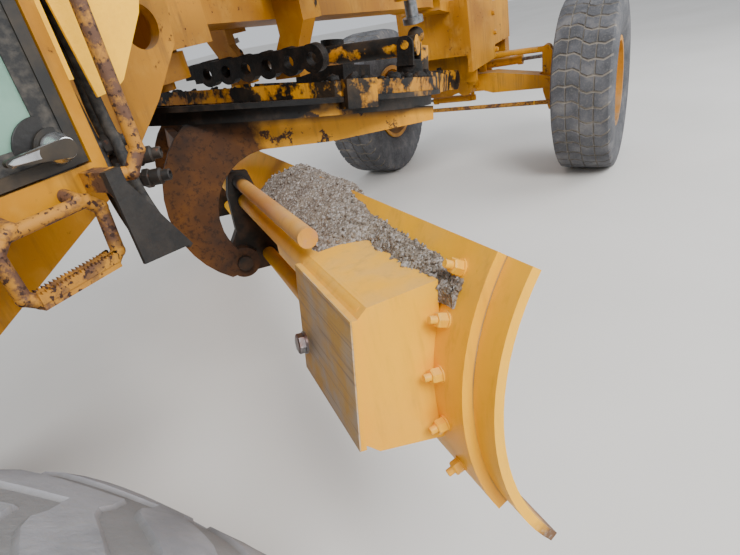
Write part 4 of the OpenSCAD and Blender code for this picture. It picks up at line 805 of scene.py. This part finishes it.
class GRADER_OT_tyres(bpy.types.Operator):
    """Replaces the plain tyres by tyres with blocks in front and bars at the rear"""

    bl_idname = "grader.tyres"
    bl_label = "Tyres"

    def execute(self, context):
        look = context.scene.grader_tyres
        front = [(0.196, 0), (0.150, 0), (0.104, 0), (0.098, 1), (0.096, 1), (0.090, 0), (0.05, 0),
                 (0.012, 0), (0.005, 0), (0.003, 1)]
        rear = [(w, 0) for w in (0.198, 0.17, 0.14, 0.11, 0.08, 0.05, 0.026, 0.018)]
        for side in SIDES:
            tyre("front", side, "blocks", "rubber", look.front_rows,
                 [(0.0, 1), (0.11, 1), (0.15, 0), (0.55, 0), (0.96, 0)],
                 lambda w: 0.32 * np.sin(w / 0.2 * np.pi * 0.95) + 0.10 * np.sin(w / 0.2 * np.pi * 3),
                 look.front_depth, front)
        for axle in ("rear_1", "rear_2"):
            for side in SIDES:
                tyre(axle, side, "bars", "worn_rubber", look.rear_bars,
                     [(0.0, 1), (0.14, 1), (0.34, 1), (0.40, 0), (0.68, 0), (0.95, 0)],
                     lambda w: 0.62 * np.abs(w) / 0.2 + 0.5 * np.clip(w / 0.03, 0, 1),
                     look.rear_depth, rear)
        return {"FINISHED"}


class GRADER_OT_wheel_nuts(bpy.types.Operator):
    """Adds the nuts of the wheels and of their hub caps"""

    bl_idname = "grader.wheel_nuts"
    bl_label = "Wheel nuts"

    def execute(self, context):
        for axle in AXLES:
            face, cap = (0.026, 0.084) if axle == "front" else (-0.054, 0.034)
            for side in SIDES:
                m = wheel_frame(axle, side)
                form = Form()
                for x, y in circle(12, 0.158):
                    hexagon(form, m @ move(x, y, face), 0.03, 0.024, 0.012)
                for x, y in circle(8, 0.062, 22.5):
                    hexagon(form, m @ move(x, y, cap), 0.016, 0.011, washer=False)
                form.piece(f"wheel_nuts_{axle}_{side}", f"wheel_{axle}_{side}", "rim_yellow",
                           "yellow_paint", 30)
        return {"FINISHED"}


def blade_nut(y, degrees):
    """Frame on the blade's back at an angle, with Z straight out of the curve."""
    a = math.radians(degrees)
    out = np.array((math.cos(a), 0, math.sin(a)))
    return BLADE @ frame_at((ARC_MID[0], y, ARC_MID[1]) + ARC_BACK * out, out, (0, 1, 0))


class GRADER_OT_blade_fasteners(bpy.types.Operator):
    """Adds the nuts of the end bits and of the cutting edge, and the bolt of the blade's box"""

    bl_idname = "grader.blade_fasteners"
    bl_label = "Blade fasteners"

    def execute(self, context):
        form, edge = Form(), Form()
        for y in (-1.758, 1.758):
            for k, degrees in enumerate((156.6, 167.4, 179.4, 191.9, 204.6)):
                hexagon(form, blade_nut(y, degrees) @ turn("z", 17 * k), 0.026, 0.021, 0.014)
        for y in np.arange(-1.52, 1.55, 0.1524):
            hexagon(edge, blade_nut(y, 209.5) @ turn("z", y * 400), 0.026, 0.02, 0.012)
        form.piece("end_bit_nuts", "blade", "fresh_yellow", "fresh_yellow", 30)
        form = Form()
        spot = (-0.323, -1.462, -0.44)
        hexagon(form, BLADE @ frame_at(spot, (-1, 0, 0), (0, 1, 0)), 0.04, 0.02)
        form.piece("box_bolt", "blade", "bare_steel", "steel", 30)
        edge.piece("cutting_edge_nuts", "blade", "worn_edge", "rusty", 30)
        return {"FINISHED"}


class GRADER_OT_soil(bpy.types.Operator):
    """Adds the soil and gravel that lies behind the blade"""

    bl_idname = "grader.soil"
    bl_label = "Soil"

    def execute(self, context):
        # the heap lies between the box and y1, from the rails (x0, z0) to the blade's back (x1, z1)
        y0, y1 = -1.775, -0.60
        y, across = np.meshgrid(np.linspace(y0, y1, 90), np.linspace(0, 1, 26), indexing="ij")
        t = (y - y0) / (y1 - y0)
        on_box = np.clip((-1.37 - y) / 0.06, 0, 1)
        x0 = -0.262 + 0.10 * on_box + 0.03 * np.clip((-1.66 - y) / 0.1, 0, 1)
        z0 = -0.262 + 0.012 * on_box - 0.02 * t
        z1 = -0.215 + 0.035 * t
        rise = np.minimum(1, (y - y0) / 0.25) * np.minimum(1, (y1 - y) / 0.05 + 0.4)
        over = np.clip((t - 0.36) / 0.16, 0, 1)
        x1 = ARC_MID[0] - np.sqrt(ARC_BACK**2 - (z1 - ARC_MID[1]) ** 2) + 0.006
        x1, z1 = x1 + (-0.060 - x1) * over, z1 + (-0.163 - z1) * over
        x = x0 + (x1 - x0) * across
        z = z0 + (z1 - z0) * across + np.sin(np.pi * across) ** 0.8 * (0.012 + 0.016 * t) * rise
        z = z + waves(x, y, 3, 0.16, 5) * 0.008 * np.sin(np.pi * np.clip(across, 0.02, 0.98)) ** 0.5
        x = x + waves(y, z, 5, 0.12, 4) * 0.008 * (across < 0.9)
        top = np.stack((x, y, z), -1)
        low = top[:, ::-1].copy()
        low[..., 2] = np.minimum(z0 - 0.03, low[..., 2] - 0.02)
        form = Form().grid(to(BLADE, np.concatenate((top, low), 1).transpose(1, 0, 2)))
        rng = np.random.default_rng(11)
        spots = top.reshape(-1, 3)[rng.integers(0, y.size, 1200)]
        pebbles(form, BLADE, spots, rng, 0.002, 0.0085)
        form.piece("soil_heap", "blade", "soil", "rusty", 50)

        # gravel on the box, whose top falls to the rear by box_slope
        n, box_slope = 160, 0.174
        spots = np.stack((rng.uniform(-0.262, -0.15, n), rng.uniform(-1.725, -1.405, n),
                          np.full(n, -0.243)), -1)
        spots[:, 2] += (spots[:, 0] + 0.14) * box_slope
        form = Form()
        pebbles(form, BLADE, spots, rng, 0.001, 0.004)
        form.piece("gravel_on_box", "blade", "soil", "rusty", 50)
        return {"FINISHED"}


def pebbles(form, matrix, spots, rng, small, large):
    """Rough lumps at points of a frame: coarse spheres with seeded radii, sizes and turns."""
    polar = np.radians([24, 62, 100, 140, 160])
    c = circle(7)
    ball = np.stack((c[:, None, 0] * np.sin(polar), c[:, None, 1] * np.sin(polar),
                     np.broadcast_to(np.cos(polar), (7, 5))), -1)
    for spot in spots:
        size = small + (large - small) * rng.random() ** 3
        shape = ball * rng.uniform(0.75, 1.2, (7, 5, 1)) * size * rng.uniform(0.6, 1.2, 3)
        at = move(*spot) @ turn("z", rng.uniform(0, 360)) @ turn("x", rng.uniform(0, 360))
        form.grid(to(matrix @ at, shape))


class GRADER_OT_grease(bpy.types.Operator):
    """Adds clots of old grease on the drawbar, above the circle"""

    bl_idname = "grader.grease"
    bl_label = "Grease"

    def execute(self, context):
        rng = np.random.default_rng(5)
        form = Form()
        n, top, rear = 420, 0.0115, -2.45
        a = rng.uniform(-2.6, 2.6, n)
        r = rng.uniform(0.60, 0.745, n)
        flat = np.stack((r * np.cos(a) - DRAWBAR_LEN, r * np.sin(a), np.full(n, top)), -1)
        pebbles(form, BAR, flat[flat[:, 0] > rear], rng, 0.004, 0.03)
        form.piece("grease_on_drawbar", "drawbar", "grease", "greasy", 60)
        return {"FINISHED"}


class GRADER_OT_cab_trim(bpy.types.Operator):
    """Adds gaskets, door handles, lock plates, mirrors, wipers and lamps"""

    bl_idname = "grader.cab_trim"
    bl_label = "Cab trim"

    def execute(self, context):
        black, silver = ("rear", "black_paint", "dark_paint"), ("rear", "chrome", "glass")
        clear, red = ("rear", "lamp_glass", "glass"), ("rear", "signal_red", "glass")
        for side, s in SIDES.items():
            door = f"door_{side}"
            strip = np.array([(-0.004, 0.0), (0.034, 0.0), (0.034, 0.003), (0.006, 0.012),
                              (-0.004, 0.014)])
            band(Form(), rounded_loop(*PANE, 0.06), strip, s * DOOR_FACE, s).piece(
                f"door_gasket_{side}", door, "hose", "dark_paint", 30)

            hx, hz = -0.820, 1.495
            m = frame_at((hx, s * CAB_HALF, hz), (0, s, 0), (1, 0, 0))
            knob = [(0.030, -0.004), (0.030, 0.006), (0.026, 0.012), (0.021, 0.022), (0.0195, 0.033),
                    (0.010, 0.0355), (0.002, 0.0358)]
            lever = [(0.019, 0.0), (0.014, 0.014), (-0.004, 0.018), (-0.04, 0.017), (-0.098, 0.013),
                     (-0.111, 0.006), (-0.104, -0.002), (-0.04, -0.008), (-0.004, -0.017),
                     (0.014, -0.013)]
            slab(lathe(Form(), knob, m, 28), lever, 0.020, 0.0345, m, 0.004).piece(
                f"door_handle_{side}", door, "chrome", "steel", 40)
            m = frame_at((hx - 0.012, s * DOOR_FACE, hz + 0.004), (0, s, 0), (1, 0, 0))
            slab(Form(), circle(40, 0.0607), 0.0, 0.006, m, 0.001).piece(
                f"door_lock_plate_{side}", door, "black_paint", "dark_paint", 40)

            arm = curve([(-0.745, s * 0.60, 2.72), (-0.70, s * 0.64, 2.74), (-0.66, s * 0.78, 2.74),
                         (-0.64, s * 0.90, 2.73), (-0.64, s * 0.905, 2.60)], 8)
            sweep(Form(), arm, 0.011, 12).piece(f"mirror_arm_{side}", *black)
            mirror, lamp, tail = (-0.66, 0.905, 2.50), (-0.615, 0.5, 3.05), (-2.2, 0.49, 3.055)
            # name, looks, crease, place, way it faces, half sizes and corner radius, depths, bevel
            for name, looks, crease, (x, y, z), way, size, *depths in (
                    ("mirror_shell", black, 50, mirror, -1, (0.09, 0.16, 0.03), -0.03, 0.0, 0.012),
                    ("mirror_glass", silver, 50, mirror, -1, (0.082, 0.152, 0.026), -0.002, 0.0015,
                     0.001),
                    ("work_lamp", black, 40, lamp, 1, (0.086, 0.056, 0.014), -0.03, 0.004, 0.004),
                    ("work_lamp_lens", clear, 40, lamp, 1, (0.07, 0.042, 0.01), 0.002, 0.008, 0.002),
                    ("tail_lamp", red, 40, tail, -1, (0.066, 0.034, 0.01), -0.01, 0.006, 0.003)):
                low, high, bevel = depths
                m = frame_at((x, s * y, z), (way, 0, 0), (0, 1, 0))
                form = slab(Form(), outline(*size), low, high, m, bevel)
                form.piece(f"{name}_{side}", *looks, crease)

        blade = [(-0.7, -0.6), (0.7, -0.6), (0.9, 0.1), (0.3, 0.6), (-0.3, 0.6), (-0.9, 0.1)]
        x = CAB_FRONT
        for name, z in (("upper", 2.25), ("lower", 1.58)):
            arm = curve([(x + 0.004, 0.16, z - 0.03), (x + 0.022, 0.1, z + 0.1),
                         (x + 0.022, -0.08, z + 0.32)], 8)
            line = np.linspace((x - 0.012, 0.02, z + 0.12), (x - 0.012, -0.18, z + 0.5), 6)
            form = sweep(sweep(Form(), arm, 0.006, 10), line, 0.009, shape=blade)
            form.piece(f"wiper_{name}", *black)
        return {"FINISHED"}


def rounded_loop(x0, x1, z0, z1, r):
    """A rounded rectangle of (x, z) points with the unit vector that points inwards at each."""
    half = np.array(((x1 - x0) / 2, (z1 - z0) / 2))
    mid = np.array(((x1 + x0) / 2, (z1 + z0) / 2))
    out = outline(*half, r, 7)
    inward = outline(*(half - r * 0.5), r * 0.5, 7) - out
    inward /= np.linalg.norm(inward, axis=1)[:, None]
    return out + mid, inward


def band(form, loop, strip, y, out):
    """Carries a strip of (inward, outward) points round a loop of (x, z) points at a depth y."""
    spot, inward = loop
    p = np.empty((len(spot), len(strip), 3))
    p[..., ::2] = spot[:, None] + inward[:, None] * strip[None, :, :1]
    p[..., 1] = y + out * strip[None, :, 1]
    return form.grid(p, ring=True)


class GRADER_OT_hoses(bpy.types.Operator):
    """Adds the hoses that come down in front of the cab and the test ports beside them"""

    bl_idname = "grader.hoses"
    bl_label = "Hoses"

    def execute(self, context):
        form, ends = Form(), Form()
        for k, (x, y) in enumerate(((-0.700, -0.53), (-0.672, -0.50), (-0.64, -0.53), (-0.62, -0.47))):
            path = curve([(x - 0.02, y + 0.04, 2.0), (x, y + 0.01, 1.86), (x + 0.006 * k, y, 1.66),
                          (x + 0.01, y - 0.01, 1.52), (x + 0.004, y - 0.03, 1.43),
                          (x - 0.02, y - 0.07, 1.36), (x - 0.04, y - 0.12, 1.30),
                          (x - 0.05, y - 0.16, 1.262)], 7)
            sweep(form, path, 0.0135)
        for x, z, yaw in ((-0.698, 1.452, -28), (-0.63, 1.405, -53), (-0.622, 1.350, -60)):
            m = move(x, -0.50, z) @ turn("z", yaw) @ turn("y", 90)
            lathe(ends, [(0.017, 0.0), (0.017, 0.07), (0.020, 0.074), (0.020, 0.096), (0.014, 0.1),
                         (0.014, 0.118), (0.009, 0.12), (0.009, 0.104)], m, 20)
            hexagon(ends, m @ move(0, 0, 0.05), 0.042, 0.022, washer=False)
        form.piece("cab_hoses", "rear", "hose", "dark_paint")
        ends.piece("test_ports", "rear", "dark_steel", "dark_paint", 30)
        return {"FINISHED"}


class GRADER_OT_seat(bpy.types.Operator):
    """Replaces the plain seat by a bellows, a cushion and a back"""

    bl_idname = "grader.seat"
    bl_label = "Seat"

    def execute(self, context):
        x, z = -1.68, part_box("seat")[0][2]
        h = np.linspace(0, 0.28, 44)
        r = 0.105 + 0.014 * np.sin(h / 0.035 * 2 * np.pi) + 0.04 * (h / 0.28) ** 2
        bellows = lathe(Form(), np.stack((r, z + h), -1), move(x, 0, 0))
        base = bellows.piece("seat_bellows", "rear", "hose", "vinyl", 60)
        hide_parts("seat")
        # name, low corner and high corner in (x, z), half width, axis of the thickness
        for name, low, high, half, up in (
                ("seat_cushion", (-0.235, 0.285), (0.255, 0.445), 0.235, 2),
                ("seat_back", (-0.325, 0.40), (-0.205, 0.995), 0.225, 0)):
            pad = cushion(name, (x + low[0], -half, z + low[1]), (x + high[0], half, z + high[1]), up)
        return {"FINISHED"}


def cushion(name, low, high, up):
    """A crowned pad between two corners, whose wide faces swell between sewn channels."""
    low, high = np.array(low), np.array(high)
    a = np.linspace(0, 2 * np.pi, 96, endpoint=False)[:, None]
    b = np.linspace(-np.pi / 2 + 0.02, np.pi / 2 - 0.02, 48)[None, :]

    def soft(v, e):
        return np.sign(v) * np.abs(v) ** e

    i, j = (k for k in range(3) if k != up)
    p = np.zeros((96, 48, 3))
    p[..., i] = soft(np.cos(b), 0.28) * soft(np.cos(a), 0.3)
    p[..., j] = soft(np.cos(b), 0.28) * soft(np.sin(a), 0.3)
    p[..., up] = soft(np.sin(b), 0.5)
    crown = (1 - p[..., i] ** 4) * (1 - p[..., j] ** 4)
    channel = np.abs(np.sin(p[..., j] * 2.5 * np.pi)) ** 0.4
    p[..., up] *= 0.80 + 0.2 * crown * (0.45 + 0.55 * channel)
    form = Form().grid(p * (high - low) / 2 + (low + high) / 2)
    pad = form.piece(name, "rear", "vinyl", "vinyl", 80)
    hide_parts("seat")
    return pad


class GRADER_OT_fasteners(bpy.types.Operator):
    """Adds the bolts of the bolster and of the tandems"""

    bl_idname = "grader.fasteners"
    bl_label = "Frame fasteners"

    def execute(self, context):
        bolster, tandem = Form(), Form()
        bolster_half, case_face = 0.285, 0.741
        for s in SIDES.values():
            for x, z in ((3.128, 1.341), (3.153, 1.194), (3.11, 1.46), (3.17, 1.06)):
                hexagon(bolster, frame_at((x, s * bolster_half, z), (0, s, 0)), 0.034, 0.02)
            for axle in ("rear_1", "rear_2"):
                for x, z in circle(10, 0.19, 18) + (AXLES[axle], TYRE_R):
                    m = frame_at((x, s * case_face, z), (0, s, 0))
                    hexagon(tandem, m, 0.024, 0.015, washer=False)
        bolster.piece("bolster_bolts", "front", "frame_yellow", "yellow_paint", 30)
        tandem.piece("tandem_bolts", "rear", "frame_yellow", "yellow_paint", 30)
        return {"FINISHED"}


class GRADER_OT_hood_trim(bpy.types.Operator):
    """Adds the hood's side doors with their latches, its filler cap and the steps' treads"""

    bl_idname = "grader.hood_trim"
    bl_label = "Hood and steps"

    def execute(self, context):
        doors, latches = Form(), Form()
        for s in SIDES.values():
            for x0, x1 in ((-3.80, -3.30), (-2.78, -2.26)):
                m = frame_at(((x0 + x1) / 2, s * HOOD_HALF, 1.62), (0, s, 0), (1, 0, 0))
                slab(doors, outline((x1 - x0) / 2, 0.36, 0.03), -0.002, 0.006, m, 0.003)
                for x, z in ((-0.2, -0.24), (0.2, -0.24), (-0.2, 0.24), (0.2, 0.24)):
                    slab(latches, outline(0.026, 0.014, 0.006), 0.004, 0.018, m @ move(x, z, 0), 0.004)
        doors.piece("hood_doors", "rear", "old_yellow", "yellow_paint", 40)
        latches.piece("hood_latches", "rear", "black_paint", "dark_paint", 40)
        cap = [(0.06, -0.01), (0.06, 0.02), (0.052, 0.04), (0.02, 0.046), (0.004, 0.047)]
        lathe(Form(), cap, move(-2.5, -0.25, HOOD_TOP - 0.002)).piece(
            "filler_cap", "rear", "black_paint", "dark_paint", 40)
        # a tread is a saw-edged strip, high on every second point
        x = np.repeat(np.arange(-1.000, -0.832, 0.008), 2)
        z = 1.280 + 0.006 * (np.arange(len(x)) % 2)
        saw = np.vstack((np.stack((x, -z), -1), [(-0.832, -1.262), (-1.0, -1.262)]))
        for side, s in SIDES.items():
            form = Form()
            for y in (0.676, 0.704):
                slab(form, saw, -0.004, 0.004, frame_at((0, s * y, 0), (0, 1, 0), (1, 0, 0)), 0.0006)
            form.piece(f"step_tread_{side}", "rear", "rust_pipe", "yellow_paint", 20)
        return {"FINISHED"}


class GRADER_PT_panel(bpy.types.Panel):
    """Lists the steps and settings"""

    bl_label = "Motor grader"
    bl_idname = "GRADER_PT_panel"
    bl_space_type = "VIEW_3D"
    bl_region_type = "UI"
    bl_category = "Grader"

    def draw(self, context):
        for step in STEPS:
            self.layout.operator(step.bl_idname)
        for name, kind in GROUPS.items():
            box = self.layout.box()
            for key in kind.__annotations__:
                box.prop(getattr(context.scene, name), key)


STEPS = (GRADER_OT_finishes, GRADER_OT_stage, GRADER_OT_tyres, GRADER_OT_wheel_nuts,
         GRADER_OT_blade_fasteners, GRADER_OT_soil, GRADER_OT_grease, GRADER_OT_cab_trim,
         GRADER_OT_hoses, GRADER_OT_seat, GRADER_OT_fasteners, GRADER_OT_hood_trim)
GROUPS = {"grader_paint": GraderPaint, "grader_tyres": GraderTyres, "grader_stage": GraderStage}


def register():
    for kind in (*GROUPS.values(), *STEPS, GRADER_PT_panel):
        bpy.utils.register_class(kind)
    for key, kind in GROUPS.items():
        setattr(bpy.types.Scene, key, PointerProperty(type=kind))


def unregister():
    for key in GROUPS:
        delattr(bpy.types.Scene, key)
    for kind in reversed((*GROUPS.values(), *STEPS, GRADER_PT_panel)):
        bpy.utils.unregister_class(kind)


def main():
    register()
    for step in STEPS:
        area, name = step.bl_idname.split(".")
        getattr(getattr(bpy.ops, area), name)()


if __name__ == "__main__":
    main()
